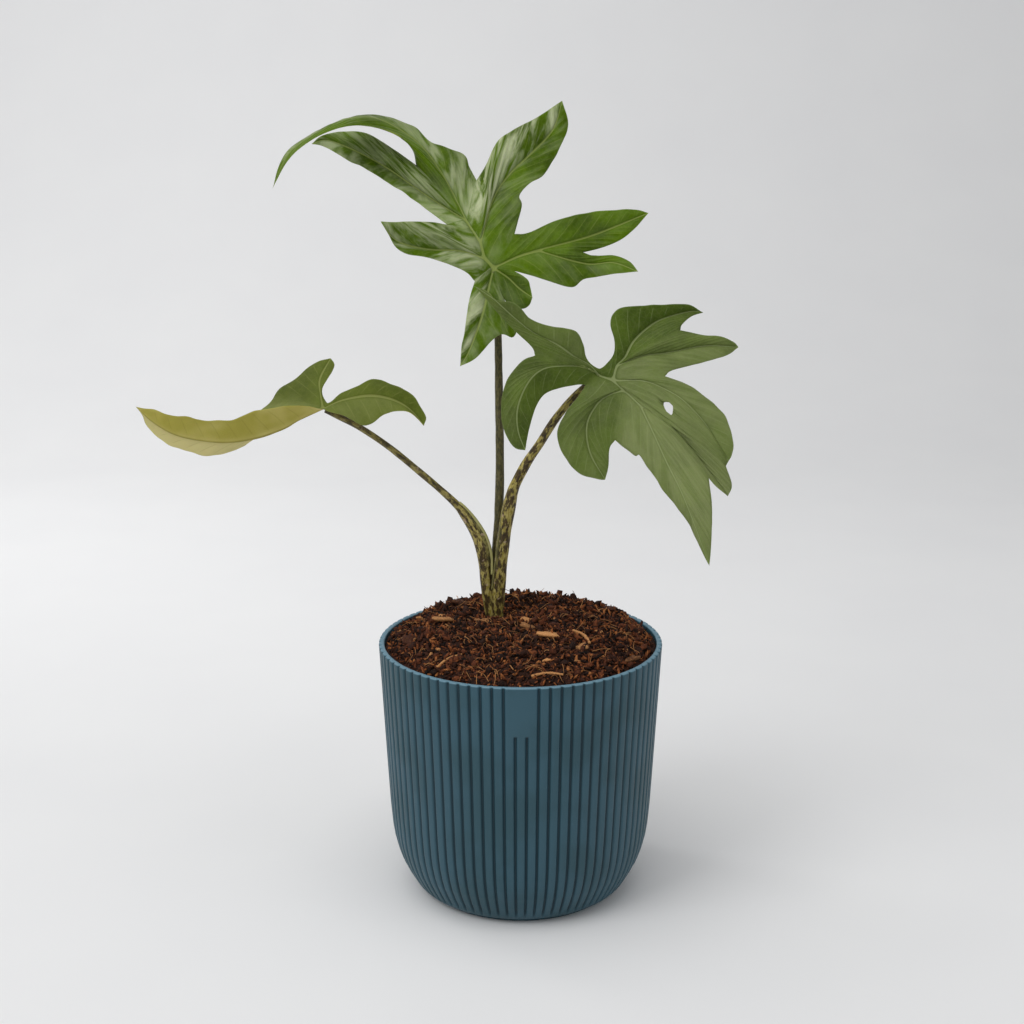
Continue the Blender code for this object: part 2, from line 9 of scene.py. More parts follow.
import bpy
import numpy as np
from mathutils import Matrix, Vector


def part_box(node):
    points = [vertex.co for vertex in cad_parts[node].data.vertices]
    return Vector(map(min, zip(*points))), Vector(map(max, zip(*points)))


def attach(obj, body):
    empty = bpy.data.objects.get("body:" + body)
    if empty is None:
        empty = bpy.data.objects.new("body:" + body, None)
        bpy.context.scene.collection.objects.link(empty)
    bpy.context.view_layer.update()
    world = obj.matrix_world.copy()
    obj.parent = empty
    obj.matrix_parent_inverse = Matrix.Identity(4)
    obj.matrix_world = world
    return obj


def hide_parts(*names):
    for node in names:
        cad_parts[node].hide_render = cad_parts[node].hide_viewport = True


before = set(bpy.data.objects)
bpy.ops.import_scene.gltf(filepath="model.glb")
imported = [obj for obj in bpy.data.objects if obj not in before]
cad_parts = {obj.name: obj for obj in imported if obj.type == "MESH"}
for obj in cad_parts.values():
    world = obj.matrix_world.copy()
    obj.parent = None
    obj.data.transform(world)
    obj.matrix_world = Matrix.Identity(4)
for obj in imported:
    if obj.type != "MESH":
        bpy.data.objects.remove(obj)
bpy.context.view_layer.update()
MM = 0.001

# ---------------------------------------------------------------- sizes

GAP = 0.3  # clear space between neighbouring pieces
POT_HEIGHT = round(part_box("pot")[1][2] / MM, 3)
POT_WALL = 2.8
POT_FLOOR = round(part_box("soil")[0][2] / MM - GAP, 3)
RIB_COUNT = 80
RIB_DEPTH = 1.15
RIBS_START = 2.2  # ribs grow out of the smooth foot between these two heights
RIBS_FULL = 9.0
PANEL_BOTTOM = 103.5  # the bare front panel reaches from here to the rim
LIP_RADIUS = 0.8
INNER_HEIGHTS = (100, 44.5, 25, 11)  # rings of the smooth inner wall, from the rim down
# (height, radius over the ribs' crests)
POT_PROFILE = [(0, 48.2), (0.6, 48.8), (2, 49.0), (2.5, 51.6), (3.2, 52.6), (5, 54.2), (11, 57.7), (17, 60.6),
               (22, 62.3), (28, 63.8), (34, 64.7), (44.5, 65.6), (66, 66.8), (102, 68.7), (127.2, 70.0)]

SOIL_EDGE = 126.2
SOIL_CROWN = 9.3
MOUND_RADIUS = 66.0
LOOSE_LIMIT = 66.6  # no crumb reaches further out than this
STEM_FOOT = (-12.0, 16.0)

# Stalks: (x, y, z, radius) up the middle
LEFT_STALK = [(-14.2, 15.4, 131, 2.7), (-15.6, 14.8, 141, 2.8), (-17, 14, 151, 2.8), (-18, 14, 163, 2.9),
              (-19.4, 13.5, 171.7, 3.2), (-22.3, 13.5, 180, 3.05), (-27.3, 13, 188.2, 2.5),
              (-31.5, 13, 193.5, 2.0), (-39.5, 12.7, 201.3, 1.65), (-49.3, 12.5, 210, 1.6),
              (-64, 12, 222.6, 1.55),
              (-78, 11.5, 232.5, 1.5), (-88, 11, 238, 1.5), (-94.5, 9.6, 241.6, 1.4)]
CENTRE_STALK = [(-13.2, 18, 131, 2.3), (-13.2, 18, 150, 2.3), (-12.4, 17.6, 165, 2.35), (-11, 17, 180, 2.35),
                (-10.6, 17, 192, 2.25), (-10.2, 17, 205, 2.15), (-10.2, 18, 225, 2.05), (-10.5, 19, 245, 2.0),
                (-10.9, 21, 274, 1.8), (-11.8, 22, 295, 1.75), (-12.9, 20.8, 307.5, 1.7)]
RIGHT_STALK = [(-11.8, 15.5, 131, 3.4), (-12.1, 15.6, 137, 3.5), (-11.1, 15, 151, 3.7), (-9.8, 14, 163, 3.3),
               (-8.8, 13.4, 172, 3.25), (-7.7, 12.4, 181, 3.2), (-5.6, 10.6, 193, 3.2), (-3.9, 9, 201, 2.85),
               (-1.7, 7.4, 207, 2.45), (3.2, 4.5, 217, 2.3), (9, 1.5, 226.5, 2.05), (17, -1.8, 240, 1.9),
               (26, -4.2, 251.5, 1.7), (33, -5.8, 258, 1.55), (37.4, -7.4, 261.4, 1.4)]
# The flesh that joins the left and the right stalk below their crotch
CROTCH = [(-14.3, 15.6, 131, 2.6), (-14.5, 15.4, 145, 2.5), (-14.6, 15.2, 156, 2.1), (-14.7, 15, 164, 1.5),
          (-14.7, 15, 169, 0.5)]
# The free rims of the two sheaths
LEFT_SHEATH_RIM = [(-30.2, 11.2, 195.2), (-27.8, 10.8, 193.3), (-24.1, 10.8, 189.2), (-20.1, 11, 183.4),
                   (-17.2, 11.2, 178), (-15.2, 11.4, 172), (-14.2, 11.6, 166), (-14.2, 11.6, 158)]
RIGHT_SHEATH_RIM = [(-3.6, 6.6, 204), (-5.6, 8, 200.5), (-7.4, 9.4, 196), (-8.8, 10.2, 190),
                    (-10.2, 10.9, 180),
                    (-11.6, 11.4, 170), (-13, 11.7, 160), (-14.2, 12, 150)]

TOP_LEAF = {
    "face": (0.1, -0.9, 0.42),
    "waver": 0.45, "vein_spacing": 8.5, "quilt": 0.28,
    # How strongly the painted sheen, a painted reflection of the lamps, lies on each half lobe: (first half,
    # second half)
    "painted_sheen": {"heel_left": (0.3, 0.9), "arm": (0.8, 0.6), "shoulder": (0.6, 0.5), "crown": (0.1, 0.55),
              "upright": (1.0, 0.15), "hand": (0.05, 0.05), "finger": (0.05, 0.1), "heel_right": (0.1, 0.1)},
    "trunks": {
        "heart-bend": [(-13, 20, 309), (-17.5, 22, 313.5)],
        "bend-fork": [(-17.5, 22, 313.5), (-19.5, 25, 320.5)],
        "fork-neck": [(-19.5, 25, 320.5), (-26.5, 33, 330.5)],
        "heart-knee": [(-13, 20, 309), (-2, 22.5, 314), (8.5, 24, 317)],
    },
    "ribs": {
        "heel_left": [(-13, 20, 309), (-15, 17.5, 301.5), (-18.5, 12, 287.5), (-24.5, 7, 271.5),
                      (-29, 4, 264)],
        "arm": [(-17.5, 22, 313.5), (-28.5, 21, 317), (-44.5, 18, 318), (-59, 13, 322.5), (-66, 10, 332)],
        "shoulder": [(-26.5, 33, 330.5), (-45.5, 42, 341.5), (-68.5, 49, 356.5), (-93, 53, 367.5),
                     (-102.5, 52, 366)],
        "crown": [(-26.5, 33, 330.5), (-39.5, 43, 354), (-52, 46, 368.5), (-70.5, 40, 379), (-86.5, 35, 377),
                  (-102, 30, 369.5), (-111.5, 27, 361.5), (-118.5, 24, 346.5)],
        "upright": [(-19.5, 25, 320.5), (-14, 38, 339), (-6.5, 47, 350.5), (5.5, 54, 361.5), (16, 59, 372.5),
                    (20.5, 60, 386.5)],
        "hand": [(8.5, 24, 317), (29.5, 28, 322), (42.5, 29, 326.5), (61.5, 28, 334.5)],
        "finger": [(8.5, 24, 317), (31, 21, 311), (44, 18, 312), (56, 14, 308)],
        "heel_right": [(-13, 20, 309), (-6.5, 18, 305), (-1, 15, 300), (5.5, 11, 296)],
    },
    "lobes": [
        ("heel_left", [], [(-10, 16, 297), (-6, 13, 291), (-2, 9, 283), (-4, 8, 277.5), (-9.5, 8, 278.5),
                           (-17, 7, 272), (-22, 5, 267)],
         [], [(-22, 17, 303), (-24.5, 14, 295), (-26, 11, 287.5), (-28.5, 6, 271)]),
        ("arm", ["heart-bend"], [(-22, 17, 303), (-27, 16.5, 308), (-41.5, 15, 313.5), (-57.5, 12, 318),
                                 (-63, 11, 326.5)],
         ["-fork-neck", "-bend-fork"], [(-34.5, 26, 328.5), (-41.5, 22, 330.5), (-53.5, 15, 331.5),
                                        (-60.5, 12, 331.5)]),
        ("shoulder", [], [(-34.5, 26, 328.5), (-49.5, 36, 338.5), (-69.5, 44, 351), (-84, 49, 358),
                          (-96, 52, 364.5)],
         [], [(-51, 47, 356), (-62, 49, 363.5), (-75, 51, 371), (-86, 53, 372), (-97, 53, 370)]),
        ("crown", [], [(-51, 47, 356), (-52.5, 43, 363.5), (-58.5, 38, 370.5), (-67, 34, 374),
                       (-79.5, 30, 375.5),
                       (-92, 27, 372.5), (-103, 25, 366.5), (-111, 24, 359)],
         [], [(-21.5, 42, 349), (-25, 45, 355), (-28.5, 48, 361.5), (-44.5, 52, 367.5), (-53, 53, 374.5),
              (-70, 49, 380), (-87, 42, 377.5), (-106, 34, 368), (-114, 30, 360.5)]),
        ("upright", ["-fork-neck"], [(-21.5, 42, 349), (-17, 45, 356), (-11.5, 49, 367), (-3, 54, 373),
                                     (8, 58, 378.5)],
         ["heart-bend", "bend-fork"], [(-3, 27, 324.5), (0.5, 36, 337), (-0.5, 39, 342), (4.5, 44, 347.5),
                                       (11.5, 49, 351.5), (19, 54, 363.5), (23.5, 58, 375)]),
        ("hand", ["heart-knee"], [(-3, 27, 324.5), (3.5, 28, 325), (17.5, 29, 331), (29.5, 30, 334),
                                  (42, 30, 335.5), (55, 29, 336)],
         [], [(30, 24, 316), (38.5, 25, 318), (47.5, 26, 321.5), (55, 27, 327)]),
        ("finger", [], [(30, 24, 316), (35.5, 22, 314.5), (44.5, 20, 315), (52, 17, 312.5)],
         ["heart-knee"], [(-3.5, 18, 308), (3.5, 18, 306), (13.5, 18, 303), (24.5, 17, 300), (31, 17, 304),
                          (47, 15, 307)]),
        ("heel_right", [], [(-3.5, 18, 308), (3, 14, 304.5), (4.5, 13, 300.5)],
         [], [(-10, 16, 297), (-5, 13, 292), (0.5, 12, 290.5), (4, 11, 292.5)]),
    ],
}

RIGHT_LEAF = {
    "face": (-0.1, -0.72, 0.69),
    "waver": 0.75, "vein_spacing": 8.0, "quilt": 0.22,
    "tears": [(68.5, 249.2, 1.9, 2.8, 25)],  # holes: (x, z, half width, half height, turn)
    # Painted sheen on each half lobe: (first half, second half)
    "painted_sheen": {"crest": (0.05, 0.15), "wing": (0.3, 0.5), "flank": (0.5, 0.55), "toe": (0.65, 0.65),
              "spine": (0.7, 0.65), "heel": (0.25, 0.3), "arm": (0.1, 0.2), "spear": (0.25, 0.3)},
    "trunks": {
        "heart-neck": [(37, -8, 261.5), (43, -11, 260)],
        "neck-crook": [(43, -11, 260), (44.5, -8, 266)],
        "neck-back": [(43, -11, 260), (48.5, -14, 256)],
        "back-waist": [(48.5, -14, 256), (55.5, -20, 250)],
    },
    "ribs": {
        "arm": [(37, -8, 261.5), (31.5, -10, 266), (20.5, -14, 267.5), (10.5, -19, 267), (3.5, -23, 261.5),
                (-1.5, -26, 250.5), (-1.5, -27, 239.5), (2, -26, 229.5)],
        "spear": [(37, -8, 261.5), (33, -9, 266.5), (25.5, -11, 270.5), (16.5, -13, 277), (6.5, -14, 282),
                  (-3.5, -15, 290), (-12, -16, 298), (-22, -16, 305)],
        "crest": [(44.5, -8, 266), (49, -4, 269), (53, 3, 275), (59.5, 9, 280.5), (67.5, 13, 285),
                  (81.5, 16, 288.5),
                  (88, 17, 288)],
        "wing": [(44.5, -8, 266), (56.5, -3, 270), (68.5, 0, 271), (87, 3, 274), (103.5, 2, 273.5)],
        "flank": [(43, -11, 260), (56, -13, 260.5), (65.5, -16, 257.5), (75, -21, 252.5), (84.5, -28, 243),
                  (90.5, -34, 233.5), (95.5, -37, 227)],
        "toe": [(55.5, -20, 250), (65, -25, 245), (74.5, -31, 236.5), (84, -38, 225), (94.5, -46, 212.5)],
        "spine": [(55.5, -20, 250), (61, -30, 239), (66.5, -40, 227.5), (72.5, -50, 216), (79, -60, 200),
                  (84.5, -66, 185)],
        "heel": [(48.5, -14, 256), (41.5, -14, 254), (35.5, -14, 249), (31, -15, 239.5), (32.5, -18, 227),
                 (39.5, -24, 215)],
    },
    "lobes": [
        ("arm", [], [(30.5, -10, 257.5), (26.5, -12, 258), (18.5, -15, 257), (11, -18, 254.5),
                     (6.5, -21, 247.5),
                     (3, -25, 236.5)],
         [], [(6.5, -16, 272.5), (0.5, -18, 270), (-7, -21, 261), (-9.5, -23, 250), (-7.5, -25, 238),
              (-3, -26, 231)]),
        ("spear", [], [(6.5, -16, 272.5), (4.5, -16, 277), (-7, -16, 288), (-18.5, -16, 301.5)],
         [], [(37, -8, 264.5), (31, -9, 269), (29, -10, 277), (25.5, -11, 283.5), (15, -12, 286),
              (4.5, -13, 290),
              (-3, -15, 297), (-11, -16, 298), (-16, -16, 302.5)]),
        ("crest", ["heart-neck", "neck-crook"],
         [(37, -8, 264.5), (40.5, -6, 267), (44, -3, 271), (44.5, 1, 277), (42.5, 5, 284), (44, 8, 289),
          (49.5, 10, 292.5), (65.5, 13, 292.5), (80, 15, 292)],
         [], [(76, 6, 281), (77, 8, 283.5), (82, 14, 286.5)]),
        ("wing", [], [(76, 6, 281), (87, 4, 279), (95, 3, 278.5), (101, 2, 276)],
         ["neck-crook"], [(67.5, -12, 262), (71, -8, 264), (80.5, -5, 266), (97, 1, 269.5)]),
        ("flank", [], [(67.5, -12, 262), (75.5, -15, 259.5), (83, -19, 256), (94, -27, 246.5),
                       (97.5, -34, 235),
                       (97, -36, 230)],
         ["-neck-back"], [(94, -39, 225)]),
        ("toe", ["back-waist"], [(94, -39, 225), (96.5, -43, 217)],
         [], [(85.5, -46, 221), (89, -46, 217)]),
        ("spine", [], [(85.5, -46, 221), (86.5, -54, 208), (85.5, -62, 192.5)],
         ["back-waist"], [(44, -22, 233.5), (52.5, -30, 228), (54.5, -32, 228.5), (58, -36, 224),
                          (66, -45, 213.5),
                          (75, -54, 203), (82, -63, 189.5)]),
        ("heel", [], [(44, -22, 233.5), (41.5, -22, 229.5), (41, -23, 221)],
         ["heart-neck", "neck-back"], [(30.5, -10, 257.5), (26.5, -12, 251.5), (20.5, -14, 244),
                                       (17, -16, 236),
                                       (19, -18, 226), (27, -21, 217.5), (36.5, -24, 215.5)]),
    ],
}

LEFT_LEAF = {
    "face": (0.15, -0.25, 0.95),
    "waver": 0.95, "vein_spacing": 8.0, "quilt": 0.2,
    # Painted sheen on each half lobe: (first half, second half)
    "painted_sheen": {"stern": (0.1, 0.35), "mast": (0.15, 0.15), "keel": (0.15, 0.85)},
    "trunks": {},
    "ribs": {
        "keel": [(-95.5, 9, 242.5), (-107.5, 8, 237.5), (-114.5, 7, 233.5), (-127, 4, 229.5), (-141, 0, 228),
                 (-155, -4, 230), (-165.5, -7, 233.5), (-174.5, -10, 240), (-181.5, -12, 247.5)],
        "mast": [(-95.5, 9, 242.5), (-97, 15, 248), (-98.5, 24, 254), (-94, 34, 263)],
        "stern": [(-95.5, 9, 242.5), (-86.5, 6, 247), (-74.5, 2, 250), (-65.5, -1, 250), (-57.5, -3, 247.5),
                  (-51.5, -5, 243.5), (-46, -8, 237.5)],
    },
    "lobes": [
        ("keel", [], [(-95, 5, 243), (-106.5, 0, 245.5), (-124, -5, 244.5), (-135.5, -6, 240),
                      (-148, -9, 240.5),
                      (-160, -12, 242.5), (-172.5, -13, 246)],
         [], [(-123, 25, 243), (-131, 24, 235), (-133, 12, 226), (-137, 6, 222.5), (-146.5, 1, 220.5),
              (-154.5, -2, 221), (-166, -6, 227), (-174.5, -9, 234), (-178.5, -12, 243)]),
        ("mast", [], [(-123, 25, 243), (-119.5, 28, 248), (-111, 31, 253), (-101.5, 34, 261)],
         [], [(-93.5, 11, 244), (-97, 18, 248.5), (-94.5, 24, 254.5), (-92, 31, 260)]),
        ("stern", [], [(-93.5, 11, 244), (-86.5, 9, 250), (-78, 6, 254), (-69.5, 3, 258), (-59.5, -1, 255),
                       (-50, -4, 249), (-45, -6, 241.5)],
         [], [(-95, 5, 243), (-83.5, 0, 239.5), (-74, -3, 237), (-61.5, -5, 243), (-54, -7, 243.5),
              (-48, -8, 239.5)]),
    ],
}

# Rootstock: (height, radius) up its middle
ROOTSTOCK_PROFILE = [(86, 1.6), (91, 5.4), (99, 8.2), (108, 9.0), (117, 7.8), (125, 5.6), (131, 4.2)]
ROOT_COUNT = 6
ROOT_REACH = 30.0
ROOT_DROP = 52.0

# Bark chips: (x, y, turn in degrees, length, width, tone)
CHIPS = [(-38, 4, 25, 11, 5, 0.6), (-19, 5, -20, 7, 4.5, 0.5), (4, 4, -15, 8, 4, 0.75),
         (3.5, -5, -10, 8, 4, 0.5),
         (13.5, -25, 10, 10, 7.5, 0.8), (29, -32, 0, 7, 5, 0.6), (53, -33, 30, 8, 5, 0.3),
         (46, 30, 60, 10, 6, 0.15),
         (-30, 40, 15, 10, 6, 0.2), (-54, -16, 70, 9, 6, 0.15)]
SMALL_FLAKE_COUNT = 34
FIBRE_COUNT = 420
# Loose crumbs: how many, their length, their proportions, their tone, how far they stand out of the soil
CRUMBS = {
    "fine_crumbs": {"count": 5600, "sizes": (0.8, 2.2), "aspect": (1.5, 0.8, 0.6), "tones": (-0.1, 0.75),
                    "lift": 0.25, "seed": 11},
    "shreds": {"count": 2600, "sizes": (1.0, 2.8), "aspect": (2.4, 0.6, 0.45), "tones": (0.0, 0.74),
               "lift": 0.35, "seed": 13},
    "coarse_crumbs": {"count": 480, "sizes": (2.0, 4.6), "aspect": (1.4, 0.9, 0.7), "tones": (0.1, 0.5),
                      "lift": 0.2, "seed": 12},
}
# Twigs: (middle x, middle y, turn in degrees, length, radius)
TWIGS = [(30, -18.5, -66, 18, 0.9), (12, -58, 12, 15, 0.7), (-34, -42, 35, 14, 0.7)]

BLADE_STEP = 0.9  # between rows of points along a vein
BLADE_COLUMNS = 22  # across half a lobe
NOISE_CELLS = 61  # the random lattice repeats after this many cells

# ---------------------------------------------------------------- numpy helpers


def value_noise(x, y, cell, seed):
    """Smooth random values from -1 to 1: random values on a square lattice of `cell` mm, blended between."""
    table = np.random.default_rng(seed).uniform(-1, 1, (NOISE_CELLS, NOISE_CELLS))
    grid_x, grid_y = np.asarray(x, float) / cell, np.asarray(y, float) / cell
    low_x, low_y = np.floor(grid_x).astype(int), np.floor(grid_y).astype(int)
    part_x, part_y = grid_x - low_x, grid_y - low_y
    part_x = part_x * part_x * (3 - 2 * part_x)
    part_y = part_y * part_y * (3 - 2 * part_y)
    corners = [table[(low_x + i) % NOISE_CELLS, (low_y + j) % NOISE_CELLS] for i in (0, 1) for j in (0, 1)]
    near = corners[0] * (1 - part_y) + corners[1] * part_y
    far = corners[2] * (1 - part_y) + corners[3] * part_y
    return near * (1 - part_x) + far * part_x


def smooth_step(value, low, high):
    """0 below `low`, 1 above `high`, and an even S-curve between."""
    share = np.clip((value - low) / (high - low), 0, 1)
    return share * share * (3 - 2 * share)


def smooth_path(points, count):
    """A Catmull-Rom curve through points of any width, as count + 1 samples evenly spaced along it."""
    points = np.asarray(points, float)
    padded = np.vstack([2 * points[0] - points[1], points, 2 * points[-1] - points[-2]])
    a, b, c, d = (padded[i:len(padded) - 3 + i, None] for i in range(4))
    t = np.linspace(0, 1, 25)[None, :-1, None]
    spans = 0.5 * (2 * b + (c - a) * t + (2 * a - 5 * b + 4 * c - d) * t ** 2
                   + (3 * b - a - 3 * c + d) * t ** 3)
    fine = np.vstack([spans.reshape(-1, points.shape[1]), points[-1:]])
    return resample(fine, np.linspace(0, 1, count + 1))


def distance_along(path):
    """The length of the path up to each of its points."""
    steps = np.linalg.norm(np.diff(path[:, :3], axis=0), axis=1)
    return np.concatenate([[0], np.cumsum(steps)])


def resample(path, shares):
    """The path's values at the given shares of its length."""
    reached = distance_along(path)
    return np.stack([np.interp(shares, reached / reached[-1], column) for column in path.T], axis=1)


def frames_along(path):
    """Two unit vectors square to the path at each point, the first kept close to the viewer's side (-Y)."""
    tangents = np.gradient(path, axis=0)
    tangents /= np.linalg.norm(tangents, axis=1)[:, None]
    front = np.array([0.0, -1.0, 0.0]) - tangents * -tangents[:, 1:2]
    front /= np.linalg.norm(front, axis=1)[:, None]
    return front, np.cross(tangents, front)


def grid_quads(rows, columns, wrap=False, start=0):
    """Quads between neighbouring points of a grid; `wrap` joins its last column to its first."""
    index = start + np.arange(rows * columns).reshape(rows, columns)
    after = np.roll(index, -1, axis=1) if wrap else index[:, 1:]
    index = index if wrap else index[:, :-1]
    return np.stack([index[:-1], after[:-1], after[1:], index[1:]], axis=-1).reshape(-1, 4)


def closed_stack(rings):
    """Points, quads and end triangles of a closed shape made of equal rings, each end filled by a fan."""
    count, sides = rings.shape[:2]
    points = np.vstack([rings.reshape(-1, 3), rings[0].mean(0), rings[-1].mean(0)])
    side = np.arange(sides)
    after = (side + 1) % sides
    last = (count - 1) * sides
    bottom = np.stack([after, side, np.full(sides, count * sides)], axis=1)
    top = np.stack([last + side, last + after, np.full(sides, count * sides + 1)], axis=1)
    return points, grid_quads(count, sides, wrap=True), np.vstack([bottom, top])


def make_piece(name, points, faces, material, slot, fields, node=None):
    """A named piece from points in millimetres, smooth shaded, riding with the object.

    `faces` is a list of index arrays, `slot` is not used, `fields` a dict of values per point that its
    material reads, and `node` the CAD node that it stands for.
    """
    mesh = bpy.data.meshes.new(name)
    mesh.from_pydata((np.asarray(points) * MM).tolist(), [], [f for group in faces for f in group.tolist()])
    mesh.shade_smooth()
    for field, values in fields.items():
        wide = np.ndim(values) == 2
        layer = mesh.attributes.new(field, "FLOAT_VECTOR" if wide else "FLOAT", "POINT")
        flat = np.ascontiguousarray(values, np.float32).ravel()
        layer.data.foreach_set("vector" if wide else "value", flat)
    mesh.materials.append(material)
    piece = bpy.data.objects.new(name, mesh)
    bpy.context.scene.collection.objects.link(piece)
    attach(piece, "root")
    if node:
        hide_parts(node)


class Parts:
    """Gathers many small shapes into one piece, each with its own field values."""

    def __init__(self):
        self.points, self.faces, self.fields, self.count = [], [], {}, 0

    def add(self, points, faces, **fields):
        """Add one shape; a field is one value for all its points, or an array of one value or vector each."""
        self.faces += [group + self.count for group in faces]
        self.points.append(points)
        for field, value in fields.items():
            value = np.asarray(value, float)
            if value.ndim == 0:
                value = np.full(len(points), float(value))
            self.fields.setdefault(field, []).append(value)
        self.count += len(points)

    def make(self, name, material, **options):
        """Make the piece from everything added so far."""
        fields = {field: np.concatenate(values) for field, values in self.fields.items()}
        make_piece(name, np.vstack(self.points), self.faces, material, fields=fields, **options)


# ---------------------------------------------------------------- materials


def linear(hex_colour):
    """An sRGB hex colour as linear RGBA."""
    channels = [int(hex_colour[i:i + 2], 16) / 255 for i in (1, 3, 5)]
    return [c / 12.92 if c <= 0.04045 else ((c + 0.055) / 1.055) ** 2.4 for c in channels] + [1.0]


def add_node(tree, kind, sockets=None, output=0, **settings):
    """Add a node with its settings, and its sockets as values, hex colours or links; return one output."""
    node = tree.nodes.new("ShaderNode" + kind)
    for key, value in settings.items():
        setattr(node, key, value)
    for key, value in (sockets or {}).items():
        if isinstance(value, bpy.types.NodeSocket):
            tree.links.new(value, node.inputs[key])
        else:
            node.inputs[key].default_value = linear(value) if isinstance(value, str) else value
    return node.outputs[output]


def new_material(name, **constants):
    """A material with one Principled shader, its sockets set to constants: its node tree and that shader."""
    material = bpy.data.materials.new(name)
    material.use_nodes = True
    shader = material.node_tree.nodes["Principled BSDF"]
    for socket, value in constants.items():
        shader.inputs[socket.replace("_", " ")].default_value = value
    return material, material.node_tree, shader


# The settings and sockets that the nodes below share
COLOUR = {"data_type": "RGBA", "output": 2}  # Mix: sockets 0 share, 6 first colour, 7 second colour
CURVE = {"interpolation_type": "SMOOTHSTEP"}  # MapRange: 1 and 2 its range, 3 and 4 what that becomes
TIMES = {"operation": "MULTIPLY"}


def pot_plastic():
    """Moulded polypropylene: a satin blue-grey with a fine mould grain, painted shade down in its grooves and
    a painted highlight on the top of its lip.
    """
    material, tree, shader = new_material("moulded_polypropylene", IOR=1.49, Specular_IOR_Level=0.4)
    place = add_node(tree, "TexCoord", output="Object")
    cloud = add_node(tree, "TexNoise", {"Vector": place, "Scale": 1 / (28 * MM), "Detail": 3.0}, "Fac")
    cloud = add_node(tree, "MapRange", {"Value": cloud, 1: 0.36, 2: 0.64}, **CURVE)
    base = add_node(tree, "Mix", {0: cloud, 6: "#284b56", 7: "#2f5361"}, **COLOUR)
    # Painted shade: the grooves are darkened towards a deep blue-grey.
    groove = add_node(tree, "Attribute", attribute_name="groove", output="Fac")
    groove = add_node(tree, "MapRange", {"Value": groove, 1: 0.15, 2: 0.95, 4: 0.9}, **CURVE)
    base = add_node(tree, "Mix", {0: groove, 6: base, 7: "#12303b"}, **COLOUR)
    # Painted highlight: the rounded top of the lip is paled towards a light blue-grey.
    lip = add_node(tree, "Attribute", attribute_name="lip", output="Fac")
    lip = add_node(tree, "Math", {0: lip, 1: 0.75}, **TIMES)
    base = add_node(tree, "Mix", {0: lip, 6: base, 7: "#6d92a4"}, **COLOUR)
    tree.links.new(base, shader.inputs["Base Color"])
    grain = add_node(tree, "TexNoise", {"Vector": place, "Scale": 1 / (0.35 * MM), "Detail": 2.0}, "Fac")
    satin = add_node(tree, "MapRange", {"Value": grain, 1: 0.3, 2: 0.7, 3: 0.42, 4: 0.54}, **CURVE)
    tree.links.new(satin, shader.inputs["Roughness"])
    bump = add_node(tree, "Bump", {"Height": grain, "Distance": 0.02 * MM})
    tree.links.new(bump, shader.inputs["Normal"])
    return material


def soil_mix():
    """Peat, coir and fine bark: matt, from near black to rust and straw, tone by tone per crumb."""
    material, tree, shader = new_material("peat_and_coir_mix", Roughness=0.88, Specular_IOR_Level=0.25)
    place = add_node(tree, "TexCoord", output="Object")
    grit = add_node(tree, "TexNoise", {"Vector": place, "Scale": 1 / (0.9 * MM), "Detail": 4.0,
                                       "Roughness": 0.65}, "Fac")
    tone = add_node(tree, "Attribute", attribute_name="tone", output="Fac")
    shift = add_node(tree, "Math", {0: grit, 1: 0.7, 2: -0.35}, operation="MULTIPLY_ADD")
    tone = add_node(tree, "Math", {0: tone, 1: shift}, operation="ADD")
    colours = add_node(tree, "ValToRGB", {"Fac": tone})
    stops = colours.node.color_ramp.elements
    stops[0].position, stops[0].color = 0.0, linear("#0e0603")
    stops[1].position, stops[1].color = 1.0, linear("#d79f62")
    for position, colour in ((0.26, "#331a0f"), (0.46, "#5f311a"), (0.66, "#8c5029"), (0.84, "#b97c47")):
        stop = stops.new(position)
        stop.color = linear(colour)
    tree.links.new(colours, shader.inputs["Base Color"])
    bump = add_node(tree, "Bump", {"Height": grit, "Distance": 0.5 * MM})
    tree.links.new(bump, shader.inputs["Normal"])
    return material


def bark_wood():
    """Broken pine bark and twigs: dry, matt, straw to rust, with grain along each piece."""
    material, tree, shader = new_material("broken_pine_bark", Roughness=0.78, Specular_IOR_Level=0.25)
    place = add_node(tree, "TexCoord", output="Object")
    place = add_node(tree, "Mapping", {"Vector": place, "Scale": (1.0, 0.3, 2.0)})
    grain = add_node(tree, "TexNoise", {"Vector": place, "Scale": 1 / (0.8 * MM), "Detail": 5.0,
                                        "Roughness": 0.65}, "Fac")
    tone = add_node(tree, "Attribute", attribute_name="tone", output="Fac")
    shift = add_node(tree, "Math", {0: grain, 1: 0.9, 2: -0.45}, operation="MULTIPLY_ADD")
    tone = add_node(tree, "Math", {0: tone, 1: shift}, operation="ADD")
    tone = add_node(tree, "MapRange", {"Value": tone, 1: 0.1, 2: 0.95}, **CURVE)
    base = add_node(tree, "Mix", {0: tone, 6: "#3d1c0d", 7: "#c9905a"}, **COLOUR)
    tree.links.new(base, shader.inputs["Base Color"])
    bump = add_node(tree, "Bump", {"Height": grain, "Distance": 0.35 * MM})
    tree.links.new(bump, shader.inputs["Normal"])
    return material


